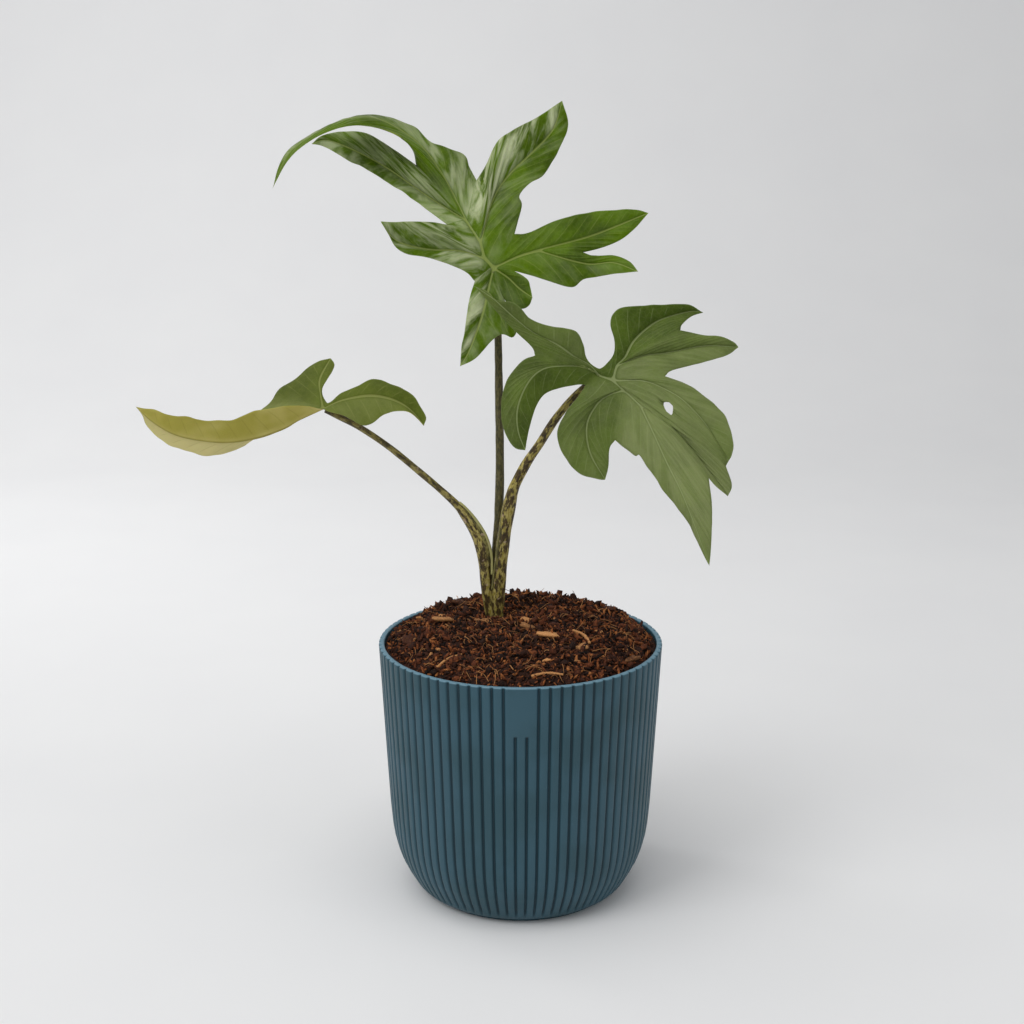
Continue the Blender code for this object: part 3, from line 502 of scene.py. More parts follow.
def stalk_skin():
    """Fleshy stalk skin: smooth and waxy, yellow-green with long brown mottles and a few pale scars."""
    material, tree, shader = new_material(
        "mottled_stalk_skin", Specular_IOR_Level=0.35, Subsurface_Weight=0.06,
        Subsurface_Radius=(0.9, 1.0, 0.4), Subsurface_Scale=1.0 * MM)
    skin = add_node(tree, "Attribute", attribute_name="skin", output="Vector")
    drawn_out = add_node(tree, "Mapping", {"Vector": skin, "Scale": (1.0, 1.0, 0.42)})
    blotch = add_node(tree, "TexNoise", {"Vector": drawn_out, "Scale": 1 / (1.9 * MM), "Detail": 3.0,
                                         "Roughness": 0.62}, "Fac")
    blotch = add_node(tree, "MapRange", {"Value": blotch, 1: 0.42, 2: 0.55}, **CURVE)
    fine = add_node(tree, "TexNoise", {"Vector": drawn_out, "Scale": 1 / (0.9 * MM), "Detail": 3.0,
                                       "Roughness": 0.6}, "Fac")
    shade = add_node(tree, "MapRange", {"Value": fine, 1: 0.35, 2: 0.65}, **CURVE)
    fresh = add_node(tree, "Mix", {0: shade, 6: "#8b7d30", 7: "#b3a562"}, **COLOUR)
    plain = add_node(tree, "Mix", {0: shade, 6: "#35331a", 7: "#57522f"}, **COLOUR)
    dark = add_node(tree, "Mix", {0: shade, 6: "#2c220e", 7: "#52411d"}, **COLOUR)
    patched = add_node(tree, "Mix", {0: blotch, 6: fresh, 7: dark}, **COLOUR)
    mottled, green, rim = (add_node(tree, "Attribute", attribute_name=field, output="Fac")
                           for field in ("mottled", "green", "rim"))
    green = add_node(tree, "Math", {0: green, 1: 0.75}, **TIMES)
    scar = add_node(tree, "TexNoise", {"Vector": skin, "Scale": 1 / (3.4 * MM), "Detail": 1.0}, "Fac")
    scar = add_node(tree, "MapRange", {"Value": scar, 1: 0.66, 2: 0.74, 4: 0.7}, **CURVE)
    scar = add_node(tree, "Math", {0: scar, 1: mottled}, **TIMES)
    base = plain
    for share, colour in ((mottled, patched), (green, "#3b401a"), (rim, "#a5a166"), (scar, "#b79f88")):
        base = add_node(tree, "Mix", {0: share, 6: base, 7: colour}, **COLOUR)
    tree.links.new(base, shader.inputs["Base Color"])
    wax = add_node(tree, "MapRange", {"Value": fine, 1: 0.3, 2: 0.7, 3: 0.42, 4: 0.56}, **CURVE)
    tree.links.new(wax, shader.inputs["Roughness"])
    bump = add_node(tree, "Bump", {"Height": fine, "Distance": 0.08 * MM})
    tree.links.new(bump, shader.inputs["Normal"])
    return material


def leaf_skin(name, greens, vein, painted_sheen, underside, roughness, patchy):
    """Living leaf: waxy skin over green flesh, thin paler veins, and a whitish painted sheen that stands for
    the lamps' reflection.

    `greens` are the darker green (also the painted shade in the channel beside the rib), the bright and the
    mottling green; `underside` its two tones, its veins and its pale painted sheen. The veins and the painted
    sheen follow the fields stored on the blade; `patchy` is how far the painted sheen breaks up.
    """
    material, tree, shader = new_material(
        name, IOR=1.45, Specular_IOR_Level=0.1, Subsurface_Weight=0.1,
        Subsurface_Radius=(0.6, 1.0, 0.25), Subsurface_Scale=0.8 * MM)
    place = add_node(tree, "TexCoord", output="Object")
    painted_sheen_mask, phase, fade, off_rib, off_edge, side = (
        add_node(tree, "Attribute", attribute_name=field, output="Fac")
        for field in ("painted_sheen", "phase", "fade", "rib", "margin", "upper"))
    broad = add_node(tree, "TexNoise", {"Vector": place, "Scale": 1 / (20 * MM), "Detail": 2.0}, "Fac")
    broad = add_node(tree, "MapRange", {"Value": broad, 1: 0.36, 2: 0.64}, **CURVE)
    mottle = add_node(tree, "TexNoise", {"Vector": place, "Scale": 1 / (4.5 * MM), "Detail": 4.0,
                                         "Roughness": 0.6}, "Fac")
    speckle = add_node(tree, "MapRange", {"Value": mottle, 1: 0.35, 2: 0.72, 4: 0.3}, **CURVE)
    # The painted sheen, a painted reflection of the lamps: strong where its field is, broken up into soft
    # streaks that run with the side veins.
    streaks = add_node(tree, "Attribute", attribute_name="streak", output="Vector")
    streaks = add_node(tree, "TexNoise", {"Vector": streaks, "Scale": 1 / (12 * MM), "Detail": 4.0,
                                          "Roughness": 0.58, "Distortion": 0.5}, "Fac")
    streaks = add_node(tree, "MapRange", {"Value": streaks, 1: 0.36, 2: 0.66, 3: 1 - patchy}, **CURVE)
    sheen = add_node(tree, "Math", {0: painted_sheen_mask, 1: streaks}, **TIMES)
    # A net of small veins about 2.5 mm apart.
    net = add_node(tree, "TexVoronoi", {"Vector": place, "Scale": 1 / (2.5 * MM)}, "Distance",
                   feature="DISTANCE_TO_EDGE")
    net = add_node(tree, "MapRange", {"Value": net, 1: 0.02, 2: 0.11, 3: 0.06, 4: 0.0}, **CURVE)
    # Side veins: the phase is an odd number at each of them.
    swing = add_node(tree, "Math", {0: phase, 1: 1.0}, operation="PINGPONG")
    side_vein = add_node(tree, "MapRange", {"Value": swing, 1: 0.88, 2: 0.96, 4: 0.2}, **CURVE)
    side_vein = add_node(tree, "Math", {0: side_vein, 1: fade}, **TIMES)
    # The main rib, painted shade in the channel beside it, and the pale edge of the blade.
    rib = add_node(tree, "MapRange", {"Value": off_rib, 1: 0.4, 2: 1.0, 3: 0.62, 4: 0.0}, **CURVE)
    channel = add_node(tree, "MapRange", {"Value": off_rib, 1: 0.9, 2: 2.0, 3: 0.28, 4: 0.0}, **CURVE)
    margin = add_node(tree, "MapRange", {"Value": off_edge, 1: 0.1, 2: 0.6, 3: 0.22, 4: 0.0}, **CURVE)
    # On top: random tones, the painted sheen, the veins, painted shade in the channel beside the rib, the rib
    # and the edge.
    upper, lower = greens[0], underside[0]
    for share, colour in ((broad, greens[1]), (speckle, greens[2]), (sheen, painted_sheen), (net, vein),
                          (side_vein, vein), (channel, greens[0]), (rib, vein), (margin, vein)):
        upper = add_node(tree, "Mix", {0: share, 6: upper, 7: colour}, **COLOUR)
    # Underneath, the painted sheen field pales the blade towards the last underside tone, a pale painted
    # sheen.
    for share, colour in ((broad, underside[1]), (painted_sheen_mask, underside[3]), (rib, underside[2]),
                          (side_vein, underside[2])):
        lower = add_node(tree, "Mix", {0: share, 6: lower, 7: colour}, **COLOUR)
    base = add_node(tree, "Mix", {0: side, 6: lower, 7: upper}, **COLOUR)
    tree.links.new(base, shader.inputs["Base Color"])
    wax = add_node(tree, "MapRange", {"Value": mottle, 1: 0.3, 2: 0.7, 3: roughness - 0.06,
                                      4: roughness + 0.08}, **CURVE)
    tree.links.new(wax, shader.inputs["Roughness"])
    fine = add_node(tree, "TexNoise", {"Vector": place, "Scale": 1 / (1.0 * MM), "Detail": 3.0,
                                       "Roughness": 0.6}, "Fac")
    relief = add_node(tree, "Math", {0: mottle, 1: 1.4, 2: fine}, operation="MULTIPLY_ADD")
    bump = add_node(tree, "Bump", {"Height": relief, "Distance": 0.13 * MM})
    tree.links.new(bump, shader.inputs["Normal"])
    return material


def studio_paper():
    """Matt white background paper, very slightly mottled."""
    material, tree, shader = new_material("background_paper", Roughness=0.9)
    place = add_node(tree, "TexCoord", output="Object")
    cloud = add_node(tree, "TexNoise", {"Vector": place, "Scale": 1 / (120 * MM), "Detail": 2.0}, "Fac")
    base = add_node(tree, "Mix", {0: cloud, 6: "#e9e9ea", 7: "#eeeeee"}, **COLOUR)
    tree.links.new(base, shader.inputs["Base Color"])
    return material


# ---------------------------------------------------------------- pot


def crest_radius(height):
    """The pot's radius over its ribs at a height."""
    heights, radii = zip(*POT_PROFILE)
    return np.interp(height, heights, radii)


def inner_radius(height):
    """The radius of the pot's smooth inner wall at a height: a wall's thickness inside the ribs' crests."""
    return crest_radius(height) - POT_WALL


def make_pot(material):
    """The pot's outside is its turned profile less the grooves; a rounded lip leads to a smooth inner wall.

    Across one rib's pitch (-0.5 to 0.5) the crest is a low arch, and each groove is a narrow smooth valley.
    """
    per_rib = 14
    angle = np.arange(RIB_COUNT * per_rib) * tau / (RIB_COUNT * per_rib)
    pitch_place = angle * RIB_COUNT / tau
    phase = pitch_place - np.round(pitch_place)
    valley = smooth_step(np.abs(phase), 0.30, 0.455)
    arch = 0.16 * (2 * phase) ** 2
    inside_panel = np.abs((pitch_place + RIB_COUNT / 2) % RIB_COUNT - RIB_COUNT / 2) < 1.2  # in ribs
    heights = np.unique(np.concatenate([
        [h for h, _ in POT_PROFILE], np.linspace(3, 34, 26), np.linspace(34, 100, 12),
        [PANEL_BOTTOM - 0.9, PANEL_BOTTOM - 0.3, PANEL_BOTTOM + 0.3, PANEL_BOTTOM + 0.9],
        [110, 118, 124, 126.5]]))
    full = smooth_step(heights, RIBS_START, RIBS_FULL)[:, None]
    over_panel = smooth_step(heights, PANEL_BOTTOM - 0.4, PANEL_BOTTOM + 0.4)[:, None] * inside_panel
    groove = valley * full * (1 - over_panel)
    radius = crest_radius(heights)[:, None] - RIB_DEPTH * groove - arch * full * (1 - over_panel)
    lip_angles = np.linspace(0, pi / 2, 5)[1:, None]
    edge = radius[-1]
    outer_lip_radius = edge - LIP_RADIUS * (1 - np.cos(lip_angles))
    outer_lip_height = POT_HEIGHT - LIP_RADIUS * (1 - np.sin(lip_angles))
    inner_edge = inner_radius(POT_HEIGHT)
    inner_lip_radius = inner_edge + LIP_RADIUS * (1 - np.sin(lip_angles)) + 0 * edge
    inner_lip_height = POT_HEIGHT - LIP_RADIUS * (1 - np.cos(lip_angles))
    inner_heights = np.array([*INNER_HEIGHTS, POT_FLOOR])[:, None]
    all_radii = np.vstack([radius, outer_lip_radius, inner_lip_radius,
                           inner_radius(inner_heights) + 0 * edge])
    all_heights = np.vstack([heights[:, None] + 0 * edge, outer_lip_height + 0 * edge,
                             inner_lip_height + 0 * edge, inner_heights + 0 * edge])
    turn = angle - pi / 2
    rings = np.stack([all_radii * np.cos(turn), all_radii * np.sin(turn), all_heights], axis=-1)
    points, quads, ends = closed_stack(rings)
    # How deep in a groove each point lies; the material darkens it there with painted shade.
    groove_shade_field = np.zeros(all_radii.shape)
    groove_shade_field[:len(heights)] = groove
    # The top of the lip, which the material pales with a painted highlight.
    lip_highlight_field = smooth_step(all_heights, 127.3, 127.8)
    middles = [0, 0]  # the points in the middle of the floor and of the base
    make_piece("ribbed_pot", points, [quads, ends], material, node="pot", slot="pot_shell", fields={
        "groove": np.append(groove_shade_field.ravel(), middles), "lip": np.append(lip_highlight_field.ravel(), middles)})


# ---------------------------------------------------------------- soil


def soil_height(x, y):
    """The soil's surface: a mound that is nearly level in the middle, with clumps from 20 mm down to 3 mm.

    It is heaped a little towards the back, and it falls to the pot's wall all round.
    """
    share = np.clip(np.hypot(x, y) / MOUND_RADIUS, 0, 1)
    clumps = (1.5 * value_noise(x, y, 17, 3) + 1.4 * value_noise(x, y, 8, 4)
              + 0.8 * value_noise(x, y, 3.4, 5))
    mound = SOIL_CROWN * (1 - share ** 4)
    heap = 2.4 * np.exp(-((y - 46) / 15) ** 2) * (1 - share ** 10)
    around_stem = 1.6 * np.exp(-np.hypot(x - STEM_FOOT[0], y - STEM_FOOT[1]) ** 2 / 60)
    return SOIL_EDGE + mound + heap + clumps * (1 - 0.75 * share ** 6) - around_stem


def make_soil(material):
    """The body of the soil: the clumpy surface over rings, closed by the pot's inner wall and floor."""
    sides = 300
    angle = np.arange(sides) * tau / sides
    wall_heights = (POT_FLOOR + GAP, *reversed(INNER_HEIGHTS))
    rings = [np.column_stack([r * np.cos(angle), r * np.sin(angle), np.full(sides, h)])
             for r, h in zip(inner_radius(wall_heights) - GAP, wall_heights)]
    edge = inner_radius(SOIL_EDGE) - GAP
    for share in np.concatenate([[1.0], np.linspace(0.985, 0.03, 84)]):
        x, y = edge * share * np.cos(angle), edge * share * np.sin(angle)
        rings.append(np.column_stack([x, y, soil_height(x, y)]))
    points, quads, ends = closed_stack(np.array(rings))
    tone = 0.22 + 0.12 * value_noise(points[:, 0], points[:, 1], 2.2, 8)
    make_piece("soil_bed", points, [quads, ends], material, node="soil", slot="potting_soil",
               fields={"tone": tone})


def lump_shape(sides=5, rings=3):
    """Points and faces of a small closed lump: rings on a unit ball, with a point at each pole."""
    tilt = np.linspace(-1, 1, rings + 2)[1:-1, None] * pi / 2
    turn = np.arange(sides)[None, :] * tau / sides + np.arange(rings)[:, None] * 0.5
    ball = np.stack([np.cos(tilt) * np.cos(turn), np.cos(tilt) * np.sin(turn), np.sin(tilt) + 0 * turn],
                    axis=-1)
    points, quads, ends = closed_stack(ball)
    points[-2:] = [(0, 0, -1), (0, 0, 1)]
    return points, [quads, ends]


def random_turns(rng, count):
    """Random rotation matrices, from unit quaternions."""
    q = rng.normal(size=(count, 4))
    w, x, y, z = (q / np.linalg.norm(q, axis=1)[:, None]).T
    rows = [[1 - 2 * (y * y + z * z), 2 * (x * y - z * w), 2 * (x * z + y * w)],
            [2 * (x * y + z * w), 1 - 2 * (x * x + z * z), 2 * (y * z - x * w)],
            [2 * (x * z - y * w), 2 * (y * z + x * w), 1 - 2 * (x * x + y * y)]]
    return np.moveaxis(np.array(rows), 2, 0)


def make_crumbs(name, material, count, sizes, aspect, tones, lift, seed):
    """Loose crumbs on the soil: lumps stretched by `aspect`, turned at random, at `lift` of their size."""
    rng = np.random.default_rng(seed)
    reach = 65.2 * np.sqrt(rng.uniform(0, 1, count))
    turn = rng.uniform(0, tau, count)
    x, y = reach * np.cos(turn), reach * np.sin(turn)
    size = rng.uniform(0, 1, count) ** 2 * (sizes[1] - sizes[0]) + sizes[0]
    ball, faces = lump_shape()
    shapes = ball[None] * (1 + 0.28 * rng.normal(size=(count, len(ball), 1)))
    shapes = shapes * (size[:, None] * np.array(aspect) / 2)[:, None]
    shapes = np.einsum("nij,npj->npi", random_turns(rng, count), shapes)
    middles = np.stack([x, y, soil_height(x, y) + lift * size], axis=1)
    points = (shapes + middles[:, None]).reshape(-1, 3)
    spread = np.hypot(points[:, 0], points[:, 1])
    points[:, :2] *= (np.minimum(spread, LOOSE_LIMIT) / spread)[:, None]
    starts = (np.arange(count) * len(ball))[:, None, None]
    groups = [(group[None] + starts).reshape(-1, group.shape[1]) for group in faces]
    tone = np.repeat(rng.uniform(tones[0], tones[1], count), len(ball))
    make_piece(name, points, groups, material, slot="potting_soil", fields={"tone": tone})


def tube(path, radii, sides):
    """A closed bar along a path; `radii` is one value per point, or one per point and side."""
    radii = np.asarray(radii, float)
    radii = radii[:, None] if radii.ndim == 1 else radii
    front, across = frames_along(path)
    angle = np.arange(sides) * tau / sides
    rings = path[:, None] + radii[..., None] * (
        np.cos(angle)[None, :, None] * front[:, None] + np.sin(angle)[None, :, None] * across[:, None])
    points, quads, ends = closed_stack(rings)
    return points, [quads, ends]


def make_fibres(material):
    """Coir and root hairs: thin bent threads lying on the soil, and a few that stand up from it."""
    rng = np.random.default_rng(21)
    threads = Parts()
    for number in range(FIBRE_COUNT):
        reach, turn = 62 * np.sqrt(rng.uniform()), rng.uniform(0, tau)
        middle = np.array([reach * cos(turn), reach * sin(turn)])
        heading, bend, length = rng.uniform(0, tau), rng.uniform(-1.6, 1.6), rng.uniform(3, 9)
        share = np.linspace(-0.5, 0.5, 7)
        course = heading + bend * share
        flat = middle + np.cumsum(np.stack([np.cos(course), np.sin(course)], axis=1) * length / 6, axis=0)
        flat -= flat.mean(0) - middle
        stand = rng.uniform(2, 5) * (share + 0.5) ** 2 if number % 12 == 0 else 0
        height = soil_height(flat[:, 0], flat[:, 1]) + 0.8 + 0.8 * np.cos(share * pi) + stand
        spread = np.maximum(np.hypot(flat[:, 0], flat[:, 1]), 1e-6)
        flat *= (np.minimum(spread, 65.5) / spread)[:, None]
        radii = rng.uniform(0.12, 0.3) * (1 - 0.5 * (share + 0.5))
        threads.add(*tube(np.column_stack([flat, height]), radii, 5), tone=rng.uniform(0.1, 0.75))
    upright = smooth_path([(12.8, 36, 129), (13.6, 37, 133), (15.2, 38.5, 138), (16, 39, 140.5)], 8)
    threads.add(*tube(upright, np.linspace(0.5, 0.25, 9), 6), tone=0.7)
    threads.make("coir_fibres", material, slot="bark")


# ---------------------------------------------------------------- rootstock and stalks


def stalk_shape(parts, points, seed, mottled):
    """A stalk: a bar through its points, slightly ribbed lengthways and uneven, its skin mapped in mm."""
    points = np.asarray(points, float)
    length = distance_along(points)[-1]
    rows, sides = int(length / 0.8), 28
    run = smooth_path(points, rows)
    angle = np.arange(sides) * tau / sides
    along = distance_along(run)
    uneven = 0.04 * value_noise(along[:, None] + 0 * angle, 3 * np.cos(angle) + 0 * along[:, None], 5, seed)
    ribbed = 0.015 * np.cos(9 * angle + 0.01 * along[:, None])
    radii = run[:, 3:4] * (1 + uneven + ribbed)
    shape, faces = tube(run[:, :3], radii, sides)
    skin = np.stack([run[:, 3:4] * np.cos(angle), run[:, 3:4] * np.sin(angle) + 40 * seed,
                     along[:, None] + 0 * angle], axis=-1).reshape(-1, 3)
    skin = np.vstack([skin, skin[:1], skin[-1:]]) * MM
    mottling = np.repeat(np.interp(along / length, *zip(*mottled)), sides)
    mottling = np.append(mottling, [mottling[0], mottling[-1]])
    parts.add(shape, faces, skin=skin, mottled=mottling, rim=0.0, green=0.0)


def sheath_shape(parts, stalk, rim, seed):
    """The sheath itself: a flattened bar that spans from the middle of its stalk to its free rim."""
    edge = smooth_path(rim, 60)
    stalk = np.array(sorted(stalk, key=lambda point: point[2]), float)
    middle = np.stack([np.interp(edge[:, 2], stalk[:, 2], stalk[:, axis]) for axis in range(4)], axis=1)
    across = 0.5 * (edge - middle[:, :3])
    sides = 20
    angle = (np.arange(sides) * tau / sides)[None, :, None]
    front = np.array([0.0, -1.0, 0.0]) * 0.55 * middle[:, None, 3:4]
    rings = (edge - across)[:, None] + np.sin(angle) * across[:, None] * 1.02 + np.cos(angle) * front
    taper = np.sin(pi * np.clip(np.linspace(0, 1, 61), 0.02, 0.98)) ** 0.4
    rings = middle[:, None, :3] + (rings - middle[:, None, :3]) * taper[:, None, None]
    if np.cross(across[30], (0, -1, 0)) @ (edge[-1] - edge[0]) < 0:
        rings = rings[:, ::-1]
    shape, quads, ends = closed_stack(rings)
    skin = (shape + (0, 40 * seed, 0)) * MM
    parts.add(shape, [quads, ends], skin=skin, mottled=0.7, rim=0.0, green=0.55)


def rim_shape(parts, points, radius, seed, pale):
    """The thickened free edge of a sheath: a thin bar along its points, tapering at both ends."""
    path = smooth_path(points, 60)
    share = np.linspace(0, 1, 61)
    radii = radius * np.clip(np.sin(pi * np.clip(share, 0.03, 0.97)) ** 0.5, 0.7, 1)
    shape, faces = tube(path, radii, 12)
    skin = (shape + (0, 40 * seed, 0)) * MM
    parts.add(shape, faces, skin=skin, mottled=0.6, rim=pale, green=0.3)


def make_stalks(material):
    """The three stalks, mottled most where they sheathe each other at the foot."""
    for side, points, seed, mottled, rim, rim_radius, pale in (
            ("left", LEFT_STALK, 1, [(0, 0.9), (0.35, 1), (0.5, 0.6), (1, 0.35)], LEFT_SHEATH_RIM, 0.85, 0.9),
            ("centre", CENTRE_STALK, 2, [(0, 0.5), (0.2, 0.1), (1, 0.05)], None, 0, 0),
            ("right", RIGHT_STALK, 3, [(0, 1), (0.6, 1), (0.9, 0.8), (1, 0.4)], RIGHT_SHEATH_RIM, 0.7, 0.25)):
        parts = Parts()
        stalk_shape(parts, points, seed, mottled)
        if side == "left":  # the flesh below the crotch is part of the left stalk
            stalk_shape(parts, CROTCH, 4, mottled)
        if rim:
            sheath_shape(parts, points, rim, seed)
            rim_shape(parts, rim, rim_radius, seed, pale)
        parts.make(f"stalk_{side}", material, node=f"leaf_stalk_{side}", slot="leaf_stalk")


# ---------------------------------------------------------------- blades


def sample_veins(leaf, step):
    """Every vein as a fixed run of points `step` mm apart, so that both of its sides share them."""
    runs = {}
    for name, points in {**leaf["trunks"], **leaf["ribs"]}.items():
        length = distance_along(np.asarray(points, float))[-1]
        runs[name] = smooth_path(points, max(2, round(length / step)))
        runs["-" + name] = runs[name][::-1]
    return runs


def half_lobe(runs, way, rib, edge, face, columns, waver):
    """One half of a lobe as a grid of points, from the vein (first column) to the edge (last column).

    Each row runs straight from the vein to the edge and is arched towards `face` by a share of its
    width. The edge wavers in and out a little, less where it is shorter than its vein. Also returns,
    in mm, how far each point is along the vein, across from it and in from the edge.
    """
    inner = runs[rib]
    for name in reversed(way):
        inner = np.vstack([runs[name][:-1], inner])
    along = distance_along(inner)
    outline = smooth_path(list(edge) + [runs[rib][-1]], 400)
    outer = resample(outline, along / along[-1])
    width = np.linalg.norm(outer - inner, axis=1)[:, None]
    calm = np.sin(pi * np.clip(along / along[-1], 0, 1))[:, None] ** 0.5
    calm = calm * np.clip(distance_along(outline)[-1] / along[-1], 0, 1) ** 3
    ripple = (value_noise(along, along * 0 + inner[0, 0], 5.5, 31)
              + value_noise(along, along * 0 + edge[0][0], 10, 33))
    outer = outer + (outer - inner) / np.maximum(width, 1) * ripple[:, None] * waver * calm
    across = np.linspace(0, 1, columns + 1) ** 1.25
    lift = 0.2 * across * (1 - across) * width
    lift += 0.9 * waver * calm * across ** 2 * value_noise(along, along * 0 + outer[0, 2], 9, 32)[:, None]
    grid = inner[:, None] * (1 - across[None, :, None]) + outer[:, None] * across[None, :, None]
    grid = grid + lift[..., None] * np.asarray(face)
    return grid, along[:, None] + 0 * across, width * across, width * (1 - across)


def join_sheet(points, quads, fields):
    """Weld points that fall together and drop the corners and faces that collapse.

    Returns the points, quads, triangles and fields of one sheet. A field keeps its lowest value.
    """
    _, first, same = np.unique(np.round(points, 3), axis=0, return_index=True, return_inverse=True)
    same = same.reshape(-1)
    welded = {}
    for name, values in fields.items():
        lowest = np.full(len(first), np.inf)
        np.minimum.at(lowest, same, values)
        welded[name] = lowest
    quads = same[quads]
    repeat = quads == np.roll(quads, -1, axis=1)
    whole = quads[repeat.sum(1) == 0]
    pinched = quads[repeat.sum(1) == 1]
    keep = ~(pinched == np.roll(pinched, -1, axis=1))
    triangles = pinched[keep].reshape(-1, 3)
    return points[first], whole, triangles, welded


def relax(points, edges, hold, rounds):
    """Smooth a sheet: each point moves half-way to its neighbours' mean, held back by `hold` (0 to 1)."""
    count = np.bincount(edges.ravel(), minlength=len(points))[:, None]
    for _ in range(rounds):
        total = np.zeros_like(points)
        np.add.at(total, edges[:, 0], points[edges[:, 1]])
        np.add.at(total, edges[:, 1], points[edges[:, 0]])
        points = points + 0.5 * (1 - hold[:, None]) * (total / count - points)
    return points


def sheet_edges(quads, triangles):
    """Every edge of a sheet once, and the directed edges that only one face has."""
    loops = [np.stack([group, np.roll(group, -1, axis=1)], axis=-1).reshape(-1, 2)
             for group in (quads, triangles)]
    directed = np.vstack(loops)
    _, index, count = np.unique(np.sort(directed, axis=1), axis=0, return_index=True, return_counts=True)
    return directed[index], directed[index][count == 1]


def point_normals(points, quads, triangles):
    """Unit normals at the points, from the faces around each."""
    normals = np.zeros_like(points)
    for group in (quads, triangles):
        across = points[group[:, 2]] - points[group[:, 0]]
        other = points[group[:, -1]] - points[group[:, 1]] if group.shape[1] == 4 else \
            points[group[:, 2]] - points[group[:, 1]]
        face = np.cross(across, other)
        for corner in range(group.shape[1]):
            np.add.at(normals, group[:, corner], face)
    return normals / np.maximum(np.linalg.norm(normals, axis=1), 1e-9)[:, None]


def open_tear(points, quads, x, z, half_width, half_height, turn):
    """Cut a ragged oval hole, seen from the front: drop the quads inside and bring its rim onto the oval.

    Returns the moved points and the quads that are left.
    """
    turn = radians(turn)
    axes = np.array([[cos(turn), sin(turn)], [-sin(turn), cos(turn)]])
    size = np.array([half_width, half_height])
    place = (points[:, ::2] - (x, z)) @ axes.T / size
    distance = np.linalg.norm(place, axis=1) + 1e-6
    ragged = 1 + 0.12 * np.sin(3 * np.arctan2(place[:, 1], place[:, 0]) + 1)
    kept = quads[(distance[quads] > 0.8 * ragged[quads]).all(1)]
    dropped = quads[(distance[quads] <= 0.8 * ragged[quads]).any(1)]
    rim = np.intersect1d(kept, dropped)
    points = points.copy()
    points[rim, ::2] = (place[rim] * (ragged / distance)[rim, None] * size) @ axes + (x, z)
    return points, kept


def make_blade(name, leaf, material, node):
    """A blade: its half lobes welded into one sheet, relaxed, quilted between the side veins, and given
    a thickness with a raised rib underneath and a shallow channel above it."""
    runs = sample_veins(leaf, BLADE_STEP)
    points, quads, count = [], [], 0
    fields = {"along": [], "across": [], "margin": [], "painted_sheen": [], "lobe": []}
    for rib, first_way, first_edge, second_way, second_edge in leaf["lobes"]:
        # How strongly the painted sheen, a painted reflection of the lamps, lies on each half of this lobe.
        painted_sheens = leaf["painted_sheen"].get(rib, (0, 0))
        for way, edge, painted_sheen, flip in ((first_way, first_edge, painted_sheens[0], False),
                                       (second_way, second_edge, painted_sheens[1], True)):
            grid, along, across, margin = half_lobe(runs, way, rib, edge, leaf["face"], BLADE_COLUMNS,
                                                    leaf["waver"])
            rows, columns = grid.shape[:2]
            index = grid_quads(rows, columns, start=count)
            quads.append(index if flip else index[:, ::-1])
            points.append(grid.reshape(-1, 3))
            fields["along"].append(along.ravel())
            fields["across"].append(across.ravel())
            fields["margin"].append(margin.ravel())
            fields["painted_sheen"].append(np.full(rows * columns, painted_sheen))
            fields["lobe"].append(np.full(rows * columns, float(len(quads))))
            count += rows * columns
    points, quads, triangles, fields = join_sheet(
        np.vstack(points), np.vstack(quads), {key: np.concatenate(value) for key, value in fields.items()})
    edges, rim = sheet_edges(quads, triangles)
    hold = 0.75 * np.exp(-(fields["across"] / 1.2) ** 2)
    hold[rim.ravel()] = 1
    points = relax(points, edges, hold, 24)
    for x, z, half_width, half_height, turn in leaf.get("tears", ()):
        points, quads = open_tear(points, quads, x, z, half_width, half_height, turn)
    edges, rim = sheet_edges(quads, triangles)
    # The painted sheen spreads softly from one half lobe into the next.
    painted_sheen_field = relax(fields["painted_sheen"][:, None], edges, np.zeros(len(points)), 50)[:, 0]
    normals = point_normals(points, quads, triangles)
    along, across, margin = fields["along"], fields["across"], fields["margin"]
    fade = smooth_step(along, 1, 7) * smooth_step(across, 0.8, 3.0) * smooth_step(margin, 0.6, 3.0)
    phase = 2 * (along - 0.6 * across) / leaf["vein_spacing"]  # an odd number on each side vein
    streak = np.stack([0.9 * across, along - 0.6 * across, 30 * fields["lobe"]], axis=1) * MM
    quilt = 0.5 - 0.5 * np.cos(pi * phase)
    crinkle = value_noise(points[:, 0] + points[:, 1], points[:, 2], 3.1, 41)
    height = fade * (leaf["quilt"] * quilt + 0.10 * crinkle)
    channel = 0.22 * np.exp(-(across / 0.9) ** 2)
    taper = np.clip(margin / 10, 0.15, 1)
    ridge = 0.9 * taper * np.exp(-(across / (0.5 + 0.5 * taper)) ** 2)
    half = 0.5 * (0.16 + 0.18 * smooth_step(margin, 0, 1.5))
    top = points + normals * (half + height - channel)[:, None]
    bottom = points - normals * (half - height + ridge)[:, None]
    size = len(points)
    walls = np.stack([rim[:, 1], rim[:, 0], rim[:, 0] + size, rim[:, 1] + size], axis=1)
    rib_width = 0.35 + 0.5 * taper
    make_piece(
        name, np.vstack([top, bottom]),
        [quads, triangles, quads[:, ::-1] + size, triangles[:, ::-1] + size, walls], material, node=node,
        slot="leaf_blade", fields={
            "upper": np.repeat([1.0, 0.0], size), "rib": np.tile(across / rib_width, 2),
            "phase": np.tile(phase, 2), "fade": np.tile(fade, 2), "painted_sheen": np.tile(painted_sheen_field, 2),
            "margin": np.tile(margin, 2), "streak": np.tile(streak, (2, 1))})


# ---------------------------------------------------------------- rootstock, chips and twigs


